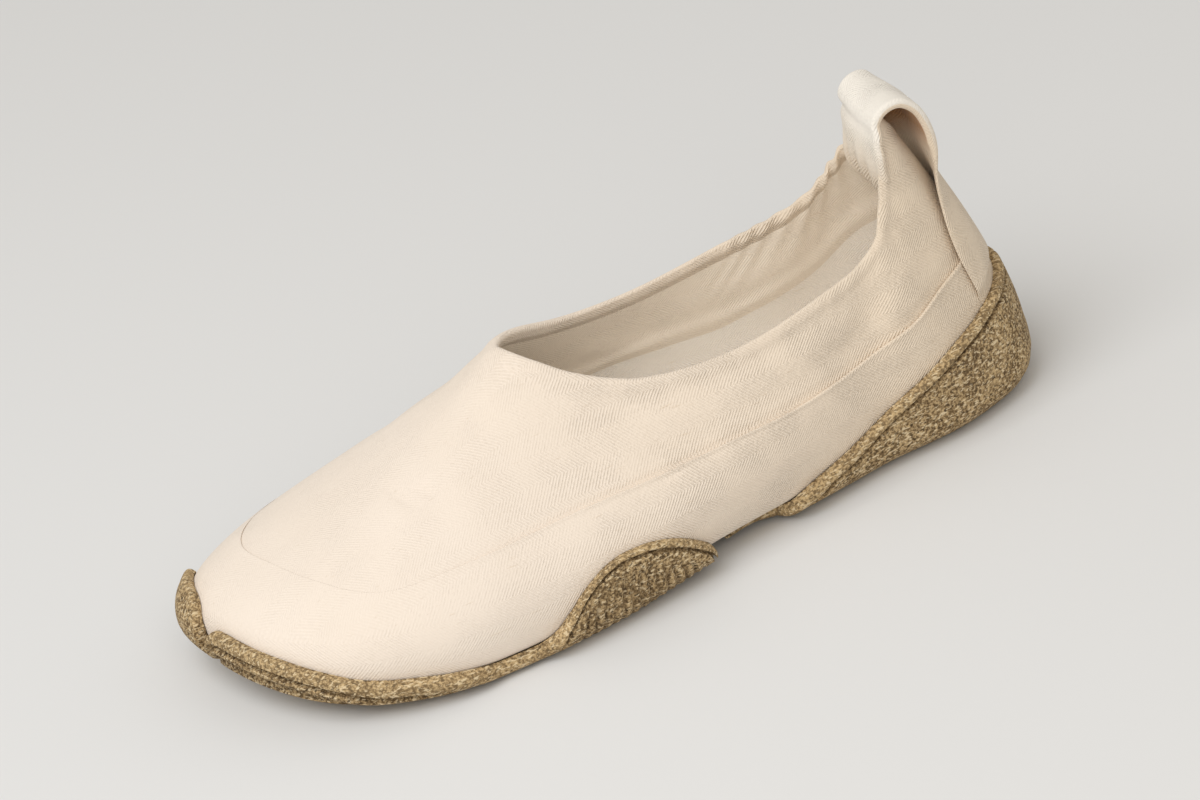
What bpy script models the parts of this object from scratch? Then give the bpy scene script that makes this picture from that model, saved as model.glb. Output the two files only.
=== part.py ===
"""Slip-on barefoot shoe for the left foot: canvas upper on a moulded cup sole.

Frame in the tables: x from the heel to the toe, y to the outer side of the foot, z up, millimetres.
The finished part is in metres, centred on its footprint, with the sole's flats on z = 0.
"""
import math

import bmesh
import bpy
import numpy as np

# Main sizes, metres
LENGTH = 0.279
BALL_WIDTH = 0.104
INSTEP_HEIGHT = 0.071
HEEL_HEIGHT = 0.0915

# The same sizes of the sample last that the tables are drawn for, millimetres
SAMPLE_LENGTH = 279.0
SAMPLE_BALL_WIDTH = 104.0
SAMPLE_INSTEP = 71.0
SAMPLE_HEEL = 91.5

# Wall, gap and edge sizes, millimetres
GAP = 0.3
WALL = 2.0
SEAM_STEP = 0.7
SEAM_RUN = 0.6
CORNER = 4.0
FLANGE = 6.0
FLANGE_LAP = 5.0
BOARD_THICKNESS = 1.8
INSOLE_THICKNESS = 3.0
SOLE_FLOOR = 4.5
SOLE_WALL = 3.0
ARCH_RISE = 2.5
ARCH_SPAN = (80.0, 120.0, 160.0)
ARCH_SIDE = 34.0

# Where the collar's height stops following the instep and follows the heel, millimetres from the heel
HEEL_BLEND_START = 90.0
HEEL_BLEND_RUN = 60.0

# Columns round the shoe, half on each side
HALF_COLUMNS = 42
COLUMNS = 2 * HALF_COLUMNS
LADDER = 3

# How close the columns stand along each side, closer where the sole's rim rises steeply
# Columns: share of the way from heel to toe, closeness
OUTER_SPACING = ((0.0, 1.0), (0.29, 1.0), (0.33, 2.0), (0.45, 2.2), (0.5, 1.0), (0.56, 1.2), (0.64, 1.0),
                 (0.90, 1.0), (0.93, 2.8), (0.965, 2.8), (0.98, 1.2), (1.0, 1.2))
INNER_SPACING = ((0.0, 1.0), (0.2, 1.0), (0.24, 2.4), (0.36, 2.4), (0.4, 1.0), (0.56, 1.0), (0.6, 2.0),
                 (0.7, 2.0), (0.74, 1.0), (1.0, 1.0))

# One row per section round the last, from the heel back over the outer side to the toe and back.
# feather: where the wall stands on the bottom; flare: lean of the wall outwards, degrees;
# rise: length of the wall's upright start; collar: where the section ends; pull and slope: length
# and rise, degrees, of its end; seam: where the lower panel's edge crosses, share of the section.
SECTION_COLUMNS = ("feather_x", "feather_y", "flare", "rise", "collar_x", "collar_y", "collar_z",
                   "pull", "slope", "seam")
SECTIONS = (
    ("heel_back", 7.5, -2.0, 10, 15, 31.5, -2.0, 91.0, 30, 62, 0.48),
    ("heel_outer_back", 14.0, 15.5, 9, 15, 38.5, 10.8, 90.4, 30, 63, 0.49),
    ("heel_outer", 35.0, 26.5, 9, 17, 46.9, 18.0, 76.8, 28, 66, 0.54),
    ("heel_outer_front", 70.0, 30.5, 14, 20, 56.5, 22.6, 65.6, 24, 64, 0.50),
    ("waist_outer", 108.0, 39.5, 22, 20, 76.0, 26.0, 60.5, 22, 62, 0.48),
    ("lobe_outer", 150.0, 48.5, 16, 22, 106.0, 27.0, 56.0, 22, 58, 0.53),
    ("ball_outer", 190.0, 53.5, 12, 24, 135.0, 22.5, 57.5, 26, 45, 0.485),
    ("little_toe_base", 222.0, 52.0, 10, 24, 152.0, 15.5, 63.5, 40, 36, 0.37),
    ("little_toe", 248.0, 42.5, 8, 22, 161.0, 9.0, 68.5, 55, 33, 0.27),
    ("toe_front", 265.5, 23.0, 6, 21, 166.0, 3.0, 71.0, 66, 32, 0.26),
    ("second_toe", 273.5, 3.5, 5, 20, 168.0, -2.0, 71.5, 72, 32, 0.26),
    ("toe_tip", 276.0, -19.0, 5, 20, 168.0, -6.0, 71.0, 74, 32, 0.26),
    ("big_toe_inner", 263.0, -36.5, 6, 20, 165.0, -11.0, 70.0, 66, 32, 0.26),
    ("big_toe_base", 232.0, -46.0, 8, 23, 157.0, -17.0, 67.0, 48, 34, 0.33),
    ("ball_inner", 203.0, -49.0, 10, 24, 143.0, -22.0, 62.0, 32, 40, 0.44),
    ("arch_inner", 168.0, -43.0, 12, 24, 119.0, -26.5, 58.5, 24, 52, 0.49),
    ("waist_inner", 128.0, -36.0, 14, 24, 90.0, -28.0, 60.0, 22, 60, 0.48),
    ("heel_inner_front", 82.0, -32.5, 12, 22, 58.0, -24.0, 67.0, 23, 65, 0.49),
    ("heel_inner", 37.0, -30.5, 9, 17, 44.0, -18.5, 81.0, 28, 66, 0.50),
    ("heel_inner_back", 14.5, -19.5, 9, 15, 35.0, -12.0, 91.0, 30, 63, 0.49),
)
TOE_ROW = 11

# Underside of the sole along the foot: flat heel, low arch, flat ball, toe spring
# Columns: x, z
PROFILE = ((0, 4.0), (26, 0.0), (76, 0.0), (100, 1.2), (128, 2.2), (150, 1.0), (166, 0.0),
           (212, 0.0), (235, 1.8), (255, 5.0), (280, 11.5))

# Height of the sole's rim over the bottom of the upper, by share of the way from heel to toe;
# below nothing it lies under the foot, that far in from the edge.
# Columns: share, height
RIM_OUTER = ((0.0, 30.0), (0.06, 30.0), (0.089, 28.6), (0.108, 26.8), (0.142, 24.4), (0.206, 16.4),
             (0.267, 8.8), (0.328, 2.3), (0.37, -3.0), (0.405, -2.0), (0.425, 1.0), (0.437, 5.0), (0.45, 8.5),
             (0.47, 12.3), (0.494, 15.3), (0.515, 17.0), (0.536, 17.6), (0.552, 16.6), (0.567, 13.6),
             (0.583, 8.0), (0.60, 3.2), (0.62, 1.2), (0.65, 1.2), (0.683, 2.8), (0.717, 4.0), (0.772, 5.6),
             (0.814, 7.6), (0.861, 8.8), (0.911, 9.0), (0.935, 8.8), (0.96, 9.4), (0.978, 11.5), (1.0, 13.0))
RIM_INNER = ((0.0, 30.0), (0.07, 29.5), (0.16, 23.0), (0.24, 11.0), (0.30, 0.0), (0.36, -10.0),
             (0.44, -21.0), (0.50, -22.0), (0.57, -15.0), (0.63, -5.0), (0.69, 2.0), (0.73, 4.0),
             (0.82, 4.4), (0.91, 4.4), (0.936, 5.0), (0.95, 8.5), (0.968, 12.0), (1.0, 13.0))

# Thickness of the sole's edge by distance from the rim: rounded bead, groove, plain wall
# Columns: distance from the rim, share of the wall
EDGE = ((0.0, 0.55), (0.8, 0.95), (2.2, 1.0), (2.9, 0.92), (3.6, 0.6), (4.3, 0.92), (5.6, 1.0))

# Ribs below the bead on the outer side of the toes: how strong they are along the way from heel to
# toe, and where their grooves lie. Columns: share, strength; distance from the rim, depth of cut
RIB_TABLE = ((0.70, 0.0), (0.76, 0.5), (0.82, 1.0), (0.932, 1.0), (0.95, 0.0))
RIB_EDGE = ((10.4, 0.0), (9.5, 1.0), (8.6, 0.0), (7.5, 0.0), (6.6, 1.0), (5.8, 0.0))
RIB_CUT = 0.28

# How the wall swells round the sole's lower corner: shares of the corner's run, and of the swelling
CORNER_SHARES = (0.0, 0.125, 0.25, 0.5, 2.0)
CORNER_SWELL = (0.0, 0.05, 0.33, 1.0)

# Thickness of the sole at its lower corner, by share of the way from heel to toe.
# Columns: share, thickness
CORNER_TABLE = ((0.0, 4.2), (0.3, 4.2), (0.45, 4.4), (1.0, 4.4))

# Slot through the sole with its head near the toes, plan points. Columns: x, y
SLOT = ((116, 64), (131, 64), (132.5, 46), (134.5, 41), (141, 37.4), (155, 32.5), (178, 27.1), (195, 21.6),
        (204, 18.6), (209, 18.9), (214.5, 21.6), (218.5, 18.1), (224.5, 9.5), (229.5, 2.4),
        (229.0, -1.5), (224.0, -4.2), (219.5, -2.0), (213, 6.0), (206, 12.0), (195, 15.6),
        (177, 20.6), (155, 26.7), (138, 30.7), (128, 33.0), (120, 38))

# Flex grooves in the underside, one row per straight run. Columns: start x, start y, end x, end y
GROOVES = ((228, -6, 235.5, 0.5), (235.5, 0.5, 249, -1.8), (249, -1.8, 284, -7.5),
           (227, 15.5, 236, 11), (236, 11, 251, 7), (251, 7, 280, 1.0),
           (157, 1.0, 177, 10.5))
GROOVE_DEPTH = 1.3
GROOVE_WIDTH = 2.0

# Notches in the rim, cut in from a plan point on the edge.
# Columns: name, x, y, angle inwards in degrees, width, height of the floor, depth
NOTCHES = (("toe", 278.5, -2.5, 180.0, 3.2, 14.0, 12.0), ("heel", 0.0, -2.0, 0.0, 2.0, 10.0, 14.0))

# Heel strip and pull loop: thickness, and how far the strip stands off the upper
LOOP_HALF_WIDTH = 13.5
LOOP_THICKNESS = 1.3
LOOP_ACROSS = 14
LOOP_LIFT = 0.5
# The strip on the back of the heel, wider below. Columns: share of the upper's height, half width
STRIP = ((0.345, 22.3), (0.40, 21.8), (0.49, 20.9), (0.57, 19.6), (0.64, 17.6), (0.70, 14.6))
# Side path of the loop, over the heel's top and down inside to the back. Columns: forward and up from
# the middle of the collar's back, and how much of the heel's roundness the band has across
LOOP_PATH = ((-8.9, -15.4, 0.6), (-7.9, -10.6, 0.15), (-8.3, -4.5, 0.0), (-7.6, 2.4, 0.0), (-5.2, 9.8, 0.0),
             (0.0, 14.9, 0.0), (6.2, 14.6, 0.0), (9.9, 11.4, 0.0), (11.9, 4.2, 0.0), (12.9, -4.1, 0.0),
             (12.0, -10.5, 0.1), (8.8, -16.0, 0.35), (4.2, -20.4, 0.6), (-0.8, -24.4, 0.85), (-5.4, -28.4, 1.0))

# Colours of the plain materials, linear
COLOURS = {
    "upper": (0.80, 0.72, 0.60, 1.0),
    "outsole": (0.28, 0.19, 0.10, 1.0),
    "lasting_board": (0.012, 0.012, 0.014, 1.0),
    "insole": (0.62, 0.52, 0.38, 1.0),
    "pull_loop": (0.78, 0.70, 0.58, 1.0),
}


def smooth_table(xs, ys, at):
    """Smooth curve through a table without overshoot; flat stretches stay flat."""
    xs = np.asarray(xs, float)
    ys = np.asarray(ys, float)
    step = np.diff(xs)
    rate = np.diff(ys) / step
    slope = np.zeros_like(ys)
    for k in range(1, len(xs) - 1):
        if rate[k - 1] * rate[k] > 0.0:
            w1 = 2.0 * step[k] + step[k - 1]
            w2 = step[k] + 2.0 * step[k - 1]
            slope[k] = (w1 + w2) / (w1 / rate[k - 1] + w2 / rate[k])
    slope[0] = rate[0]
    slope[-1] = rate[-1]
    at = np.clip(np.asarray(at, float), xs[0], xs[-1])
    k = np.clip(np.searchsorted(xs, at, side="right") - 1, 0, len(step) - 1)
    s = (at - xs[k]) / step[k]
    h00 = (1.0 + 2.0 * s) * (1.0 - s) ** 2
    h10 = s * (1.0 - s) ** 2
    h01 = s * s * (3.0 - 2.0 * s)
    h11 = s * s * (s - 1.0)
    return h00 * ys[k] + h10 * step[k] * slope[k] + h01 * ys[k + 1] + h11 * step[k] * slope[k + 1]


def closed_spline(knots, total, values, at):
    """Smooth closed curve through rows of values at the given knots."""
    count = len(knots)
    ext = np.concatenate([[knots[-1] - total], knots, [total, total + knots[1]]])
    val = np.concatenate([values[-1:], values, values[:1], values[1:2]])
    slope = np.zeros_like(val)
    for k in range(1, count + 2):
        before = (val[k] - val[k - 1]) / (ext[k] - ext[k - 1])
        after = (val[k + 1] - val[k]) / (ext[k + 1] - ext[k])
        share = (ext[k] - ext[k - 1]) / (ext[k + 1] - ext[k - 1])
        slope[k] = before * (1.0 - share) + after * share
    at = np.asarray(at, float) % total
    k = np.clip(np.searchsorted(ext, at, side="right") - 1, 1, count)
    step = ext[k + 1] - ext[k]
    s = ((at - ext[k]) / step)[:, None]
    step = step[:, None]
    h00 = (1.0 + 2.0 * s) * (1.0 - s) ** 2
    h10 = s * (1.0 - s) ** 2
    h01 = s * s * (3.0 - 2.0 * s)
    h11 = s * s * (s - 1.0)
    return h00 * val[k] + h10 * step * slope[k] + h01 * val[k + 1] + h11 * step * slope[k + 1]


def underside(x, y):
    """Height of the sole's underside, with the arch lifted on the inner side."""
    px = [row[0] for row in PROFILE]
    pz = [row[1] for row in PROFILE]
    low = smooth_table(px, pz, x / SCALE_X)
    lift = smooth_table(ARCH_SPAN, (0.0, 1.0, 0.0), x / SCALE_X)
    side = np.clip(-y / SCALE_Y / ARCH_SIDE, 0.0, 1.2) ** 2
    return low + ARCH_RISE * lift * side


def bottom(x, y):
    """Height of the upper's underside, where it lies on the sole."""
    return underside(x, y) + SOLE_FLOOR + GAP


SCALE_X = LENGTH * 1000.0 / SAMPLE_LENGTH
SCALE_Y = BALL_WIDTH * 1000.0 / SAMPLE_BALL_WIDTH
SCALE_INSTEP = INSTEP_HEIGHT * 1000.0 / SAMPLE_INSTEP
SCALE_HEEL = HEEL_HEIGHT * 1000.0 / SAMPLE_HEEL


def spaced(table):
    """Shares of the way from heel to toe at every column of one side, closer where the table says."""
    fine = np.linspace(0.0, 1.0, 401)
    dense = np.interp(fine, [row[0] for row in table], [row[1] for row in table])
    total = np.concatenate([[0.0], np.cumsum((dense[1:] + dense[:-1]) / 2.0 * np.diff(fine))])
    return np.interp(np.linspace(0.0, total[-1], HALF_COLUMNS + 1), total, fine)


def section_rows():
    """The sections at every column: a dictionary of arrays, and the share of the way to the toe."""
    table = np.array([row[1:] for row in SECTIONS], float)
    table[:, 0] *= SCALE_X
    table[:, 1] *= SCALE_Y
    table[:, 4] *= SCALE_X
    table[:, 5] *= SCALE_Y
    back = np.clip((HEEL_BLEND_START - table[:, 4] / SCALE_X) / HEEL_BLEND_RUN, 0.0, 1.0)
    table[:, 6] *= SCALE_INSTEP * (1.0 - back) + SCALE_HEEL * back
    feather = table[:, :2]
    runs = np.linalg.norm(np.roll(feather, -1, 0) - feather, axis=1)
    knots = np.concatenate([[0.0], np.cumsum(runs)[:-1]])
    total = runs.sum()
    toe = knots[TOE_ROW]
    outer = spaced(OUTER_SPACING) * toe
    inner = total - spaced(INNER_SPACING) * (total - toe)
    along = np.concatenate([outer[:-1], inner[:0:-1]])
    values = closed_spline(knots, total, table, along)
    rows = {name: values[:, k] for k, name in enumerate(SECTION_COLUMNS)}
    ahead = closed_spline(knots, total, feather, along + 0.5)
    behind = closed_spline(knots, total, feather, along - 0.5)
    tangent = ahead - behind
    tangent /= np.linalg.norm(tangent, axis=1)[:, None]
    rows["out_x"] = -tangent[:, 1]
    rows["out_y"] = tangent[:, 0]
    foot = values[:, :2] - CORNER * np.column_stack([rows["out_x"], rows["out_y"]])
    rows["base"] = bottom(foot[:, 0], foot[:, 1])
    rows["share"] = np.where(along <= toe, along / toe, (total - along) / (total - toe))
    rows["outer"] = along <= toe
    return rows


INSET_STEPS = np.linspace(-46.0, 0.0, 24)
FILLET_STEPS = np.radians(np.linspace(7.5, 90.0, 12))
WALL_STEPS = np.linspace(0.02, 1.0, 50)


def dense_surface(rows):
    """Fine grid of the upper's outer face: from under the foot, round the edge, up to the collar.

    Returns points, outward normals and the distance along each column, nothing at the edge's start.
    """
    grid = []
    for k in range(COLUMNS):
        edge = np.array([rows["feather_x"][k], rows["feather_y"][k]])
        out = np.array([rows["out_x"][k], rows["out_y"][k]])
        base = rows["base"][k]
        inset = edge - out * CORNER + INSET_STEPS[:, None] * out
        flat = np.column_stack([inset, bottom(inset[:, 0], inset[:, 1])])
        plan = edge - np.outer(CORNER * (1.0 - np.sin(FILLET_STEPS)), out)
        fillet = np.column_stack([plan, base + CORNER * (1.0 - np.cos(FILLET_STEPS))])
        start = np.array([edge[0], edge[1], base + CORNER])
        end = np.array([rows["collar_x"][k], rows["collar_y"][k], rows["collar_z"][k]])
        flare = math.radians(rows["flare"][k])
        slope = math.radians(rows["slope"][k])
        inward = end[:2] - edge
        inward /= np.linalg.norm(inward)
        lean = np.array([out[0] * math.sin(flare), out[1] * math.sin(flare), math.cos(flare)])
        arrive = np.array([inward[0] * math.cos(slope), inward[1] * math.cos(slope), math.sin(slope)])
        first = start + lean * rows["rise"][k]
        second = end - arrive * rows["pull"][k]
        s = WALL_STEPS[:, None]
        wall = (start * (1 - s) ** 3 + 3 * first * s * (1 - s) ** 2 + 3 * second * s * s * (1 - s) + end * s ** 3)
        grid.append(np.vstack([flat, fillet, wall]))
    grid = np.array(grid)
    along = np.gradient(grid, axis=1)
    across = np.roll(grid, -1, 0) - np.roll(grid, 1, 0)
    normal = np.cross(along, across)
    normal /= np.linalg.norm(normal, axis=2)[:, :, None]
    if normal[0, len(INSET_STEPS) + 20, 0] > 0.0:
        normal = -normal
    length = np.concatenate([
        np.zeros((COLUMNS, 1)), np.cumsum(np.linalg.norm(np.diff(grid, axis=1), axis=2), axis=1)], axis=1)
    length -= length[:, len(INSET_STEPS) - 1][:, None]
    return grid, normal, length


def on_surface(surface, column, at, offset):
    """Points of one column at distances along it, moved out by the offset."""
    grid, normal, length = surface
    at = np.atleast_1d(at)
    offset = np.broadcast_to(offset, at.shape)
    point = np.stack([np.interp(at, length[column], grid[column, :, c]) for c in range(3)], 1)
    out = np.stack([np.interp(at, length[column], normal[column, :, c]) for c in range(3)], 1)
    out /= np.linalg.norm(out, axis=1)[:, None]
    return point + out * offset[:, None]


def at_height(surface, rows, column, height):
    """Distance along a column at a height over its bottom; below nothing it runs in under the foot."""
    if height <= 0.0:
        return height
    grid, _, length = surface
    first = len(INSET_STEPS) - 1
    return float(np.interp(rows["base"][column] + height, grid[column, first:, 2], length[column, first:]))


FILLET_RUN = CORNER * math.pi / 2.0
CLOSE_ROWS = 0.62
WIDE_ROWS = 0.13


def spread(start, end, count):
    """Distances from start to end, close together round the lower edge, wider on the flat and the wall."""
    fine = np.linspace(start, end, 200)
    dense = np.where((fine > -0.5) & (fine < FILLET_RUN + 0.5), CLOSE_ROWS, WIDE_ROWS)
    total = np.concatenate([[0.0], np.cumsum((dense[1:] + dense[:-1]) / 2.0 * np.diff(fine))])
    return np.interp(np.linspace(0.0, total[-1], count), total, fine)


class Shell:
    """Collects rings and faces of one closed mesh."""

    def __init__(self):
        self.points = []
        self.faces = []

    def ring(self, points):
        start = len(self.points)
        self.points.extend(map(tuple, points))
        return list(range(start, start + len(points)))

    def band(self, low, high, closed=True):
        count = len(low)
        for k in range(count if closed else count - 1):
            n = (k + 1) % count
            self.faces.append((low[k], low[n], high[n], high[k]))

    def ladder(self, ring, height):
        """Fills a ring across, from each point to the one on the other side."""
        half = len(ring) // 2
        lines = []
        for k in range(half + 1):
            a = ring[k]
            b = ring[(len(ring) - k) % len(ring)]
            if a == b:
                lines.append([a] * (LADDER + 1))
                continue
            pa = np.array(self.points[a])
            pb = np.array(self.points[b])
            line = [a]
            for j in range(1, LADDER):
                p = pa + (pb - pa) * j / LADDER
                p[2] = height(p[0], p[1])
                line.append(len(self.points))
                self.points.append(tuple(p))
            line.append(b)
            lines.append(line)
        for k in range(half):
            for j in range(LADDER):
                quad = (lines[k][j], lines[k][j + 1], lines[k + 1][j + 1], lines[k + 1][j])
                face = tuple(dict.fromkeys(quad))
                if len(face) > 2:
                    self.faces.append(face)

    def build(self, name):
        mesh = bpy.data.meshes.new(name)
        mesh.from_pydata([(x / 1000.0, y / 1000.0, z / 1000.0) for x, y, z in self.points], [], self.faces)
        mesh.validate()
        work = bmesh.new()
        work.from_mesh(mesh)
        bmesh.ops.remove_doubles(work, verts=work.verts, dist=0.00001)
        bmesh.ops.recalc_face_normals(work, faces=work.faces)
        if work.calc_volume(signed=True) < 0.0:
            bmesh.ops.reverse_faces(work, faces=work.faces)
        bmesh.ops.triangulate(work, faces=work.faces, quad_method="SHORT_EDGE")
        work.to_mesh(mesh)
        work.free()
        thing = bpy.data.objects.new(name, mesh)
        bpy.context.collection.objects.link(thing)
        return thing


def dress(thing):
    """Gives a piece its plain material."""
    paint = bpy.data.materials.new(thing.name)
    paint.use_nodes = True
    shader = paint.node_tree.nodes["Principled BSDF"]
    shader.inputs["Base Color"].default_value = COLOURS[thing.name]
    shader.inputs["Roughness"].default_value = 0.8
    thing.data.materials.clear()
    thing.data.materials.append(paint)


# Rows of the upper: round the edge, up to the seam and on to the collar
FILLET_SHARES = (0.0, 0.33, 0.67, 1.0)
BELOW_SEAM = (0.35, 0.72)
ABOVE_SEAM = (0.18, 0.36, 0.54, 0.72, 0.88, 1.0)
INSIDE_SHARES = (0.15, 0.3, 0.46, 0.62, 0.8, 1.0)


def rim_height(rows, column):
    """Height of the sole's rim at a column."""
    table = RIM_OUTER if rows["outer"][column] else RIM_INNER
    return float(smooth_table([r[0] for r in table], [r[1] for r in table], rows["share"][column]))


def flange_width(rows, column):
    """How far the canvas is turned in under the foot; it reaches under the sole's edge at the waist."""
    return max(FLANGE, FLANGE_LAP - rim_height(rows, column))


def make_upper(surface, rows):
    """Hollow canvas upper with the step of the lower panel's edge in its wall."""
    shell = Shell()
    outer = []
    inner = []
    for k in range(COLUMNS):
        top = surface[2][k, -1]
        seam = FILLET_RUN + (top - FILLET_RUN) * rows["seam"][k]
        at = [-flange_width(rows, k)]
        at += [FILLET_RUN * s for s in FILLET_SHARES]
        at += [FILLET_RUN + (seam - FILLET_RUN) * s for s in BELOW_SEAM]
        at.append(seam)
        offset = [0.0] * len(at)
        at.append(seam + SEAM_RUN)
        at += [seam + SEAM_RUN + (top - seam - SEAM_RUN) * s for s in ABOVE_SEAM]
        offset += [-SEAM_STEP] * (len(at) - len(offset))
        outer.append(on_surface(surface, k, np.array(at), np.array(offset)))
        at = [-flange_width(rows, k), 0.0, FILLET_RUN * 0.5, FILLET_RUN]
        at += [FILLET_RUN + (top - FILLET_RUN) * s for s in INSIDE_SHARES]
        inner.append(on_surface(surface, k, np.array(at), -WALL))
    outer = np.array(outer)
    inner = np.array(inner)
    outer_rings = [shell.ring(outer[:, r]) for r in range(outer.shape[1])]
    inner_rings = [shell.ring(inner[:, r]) for r in range(inner.shape[1])]
    for low, high in zip(outer_rings, outer_rings[1:]):
        shell.band(low, high)
    for low, high in zip(inner_rings, inner_rings[1:]):
        shell.band(high, low)
    shell.band(outer_rings[-1], inner_rings[-1])
    shell.band(inner_rings[0], outer_rings[0])
    return shell.build("upper")


# Room between the sole's inside and the upper, and the extra room per millimetre where the rim
# rises steeply
SEAT_GAP = 0.45
STEEP_GAP = 0.10
STEEP_GAP_MOST = 0.7
STEEP_START = 3.0
FLOOR_LAP = 11.0
SEAT_START = -4.0
LIP_LEAST = 1.2
SOLE_INSIDE_ROWS = 10
SOLE_OUTSIDE_ROWS = 5


def outside_rows(start, end, ribs, from_rim):
    """Distances of the sole's outside rows: floor, ribs where there are any, groove and bead."""
    rib_at = end - np.array([row[0] for row in RIB_EDGE])
    plain = spread(start, end - from_rim[-1], SOLE_OUTSIDE_ROWS + len(RIB_EDGE))[:-1]
    ribbed = np.concatenate([spread(start, rib_at[0], SOLE_OUTSIDE_ROWS)[:-1], rib_at])
    body = plain + (ribbed - plain) * min(1.0, 4.0 * ribs)
    return np.concatenate([body, end - from_rim[::-1]])


def make_sole(surface, rows):
    """Moulded cup: an inside face that follows the upper and an outside face with bead and groove."""
    shell = Shell()
    inside = []
    outside = []
    from_rim = np.array([r[0] for r in EDGE])
    edge_share = np.array([r[1] for r in EDGE])
    rib_cuts = ([-r[0] for r in RIB_EDGE], [r[1] for r in RIB_EDGE])
    rims = [rim_height(rows, k) for k in range(COLUMNS)]
    for k, rim in enumerate(rims):
        steep = abs(rims[(k + 1) % COLUMNS] - rims[k - 1])
        gap = SEAT_GAP + min(STEEP_GAP_MOST, STEEP_GAP * max(0.0, steep - STEEP_START))
        end = at_height(surface, rows, k, rim)
        start = min(0.0, rim) - FLOOR_LAP
        at = spread(start, end, SOLE_INSIDE_ROWS)
        inside.append(on_surface(surface, k, at, np.where(at < SEAT_START, GAP, gap)))
        ribs = float(smooth_table(*zip(*RIB_TABLE), rows["share"][k])) if rows["outer"][k] else 0.0
        at = outside_rows(start, end, ribs, from_rim)
        corner = float(smooth_table(*zip(*CORNER_TABLE), rows["share"][k]))
        swell = SOLE_FLOOR + np.array(CORNER_SWELL) * (corner - SOLE_FLOOR)
        wall = np.interp(at, FILLET_RUN * np.array(CORNER_SHARES), np.append(swell, SOLE_WALL))
        wall = wall * np.interp(end - at, from_rim, edge_share)
        wall = wall * (1.0 - ribs * RIB_CUT * np.interp(at - end, *rib_cuts))
        outside.append(on_surface(surface, k, at, GAP + np.maximum(wall, gap - GAP + LIP_LEAST)))
    inside = np.array(inside)
    outside = np.array(outside)
    inside_rings = [shell.ring(inside[:, r]) for r in range(inside.shape[1])]
    outside_rings = [shell.ring(outside[:, r]) for r in range(outside.shape[1])]
    for low, high in zip(outside_rings, outside_rings[1:]):
        shell.band(low, high)
    for low, high in zip(inside_rings, inside_rings[1:]):
        shell.band(high, low)
    shell.band(outside_rings[-1], inside_rings[-1])
    shell.ladder(inside_rings[0], lambda x, y: float(bottom(x, y)) - GAP)
    shell.ladder(outside_rings[0], lambda x, y: float(underside(x, y)))
    return shell.build("outsole")


def make_prism(name, plan, low, high):
    """Upright prism used as a cutter."""
    shell = Shell()
    base = shell.ring([(x, y, low) for x, y in plan])
    lid = shell.ring([(x, y, high) for x, y in plan])
    shell.band(base, lid)
    shell.faces.append(tuple(reversed(base)))
    shell.faces.append(tuple(lid))
    thing = shell.build(name)
    thing.hide_render = True
    thing.display_type = "WIRE"
    return thing


def make_groove(name, row):
    """Ridge-shaped cutter that follows the underside along one straight run."""
    start = np.array(row[:2], float) * (SCALE_X, SCALE_Y)
    end = np.array(row[2:], float) * (SCALE_X, SCALE_Y)
    run = end - start
    run /= np.linalg.norm(run)
    side = np.array([-run[1], run[0]]) * GROOVE_WIDTH / 2.0
    shell = Shell()
    rings = []
    for s in np.linspace(-0.02, 1.02, 5):
        p = start + (end - start) * s
        z = float(underside(p[0], p[1]))
        rings.append(shell.ring([
            (p[0] - 2 * side[0], p[1] - 2 * side[1], z - GROOVE_DEPTH),
            (p[0] + 2 * side[0], p[1] + 2 * side[1], z - GROOVE_DEPTH),
            (p[0] + 0.3 * side[0], p[1] + 0.3 * side[1], z + GROOVE_DEPTH),
            (p[0] - 0.3 * side[0], p[1] - 0.3 * side[1], z + GROOVE_DEPTH)]))
    for low, high in zip(rings, rings[1:]):
        shell.band(low, high)
    shell.faces.append(tuple(reversed(rings[0])))
    shell.faces.append(tuple(rings[-1]))
    thing = shell.build(name)
    thing.hide_render = True
    thing.display_type = "WIRE"
    return thing


def cut(thing, cutter):
    """Takes a cutter out of a piece and removes the cutter."""
    work = thing.modifiers.new("cut", "BOOLEAN")
    work.operation = "DIFFERENCE"
    work.solver = "EXACT"
    work.object = cutter
    bpy.context.view_layer.objects.active = thing
    bpy.ops.object.modifier_apply(modifier=work.name)
    bpy.data.objects.remove(cutter)


def cut_sole(sole):
    """Slot, notches in the rim and flex grooves."""
    plan = [(x * SCALE_X, y * SCALE_Y) for x, y in SLOT]
    cut(sole, make_prism("slot_cutter", plan, -20.0, 40.0))
    for name, x, y, angle, width, floor_z, depth in NOTCHES:
        turn = math.radians(angle)
        inward = np.array([math.cos(turn), math.sin(turn)])
        side = np.array([-inward[1], inward[0]]) * width / 2.0
        mouth = np.array([x * SCALE_X, y * SCALE_Y]) - inward * depth
        back = np.array([x * SCALE_X, y * SCALE_Y]) + inward * depth
        plan = [mouth - side, back - side, back + side, mouth + side]
        cut(sole, make_prism(name + "_notch_cutter", plan, floor_z, 80.0))
    for k, row in enumerate(GROOVES):
        cut(sole, make_groove("groove_cutter_%d" % k, row))
    work = bmesh.new()
    work.from_mesh(sole.data)
    bmesh.ops.triangulate(work, faces=work.faces, quad_method="SHORT_EDGE")
    work.to_mesh(sole.data)
    work.free()


def make_board(surface, rows):
    """Board that closes the upper underneath, edge to edge with its flange."""
    shell = Shell()
    inset = [-flange_width(rows, k) - GAP for k in range(COLUMNS)]
    low = [on_surface(surface, k, inset[k], 0.0)[0] for k in range(COLUMNS)]
    high = [on_surface(surface, k, inset[k], -BOARD_THICKNESS)[0] for k in range(COLUMNS)]
    low_ring = shell.ring(low)
    high_ring = shell.ring(high)
    shell.band(low_ring, high_ring)
    shell.ladder(low_ring, lambda x, y: float(bottom(x, y)))
    shell.ladder(high_ring, lambda x, y: float(bottom(x, y)) + BOARD_THICKNESS)
    return shell.build("lasting_board")


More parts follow.
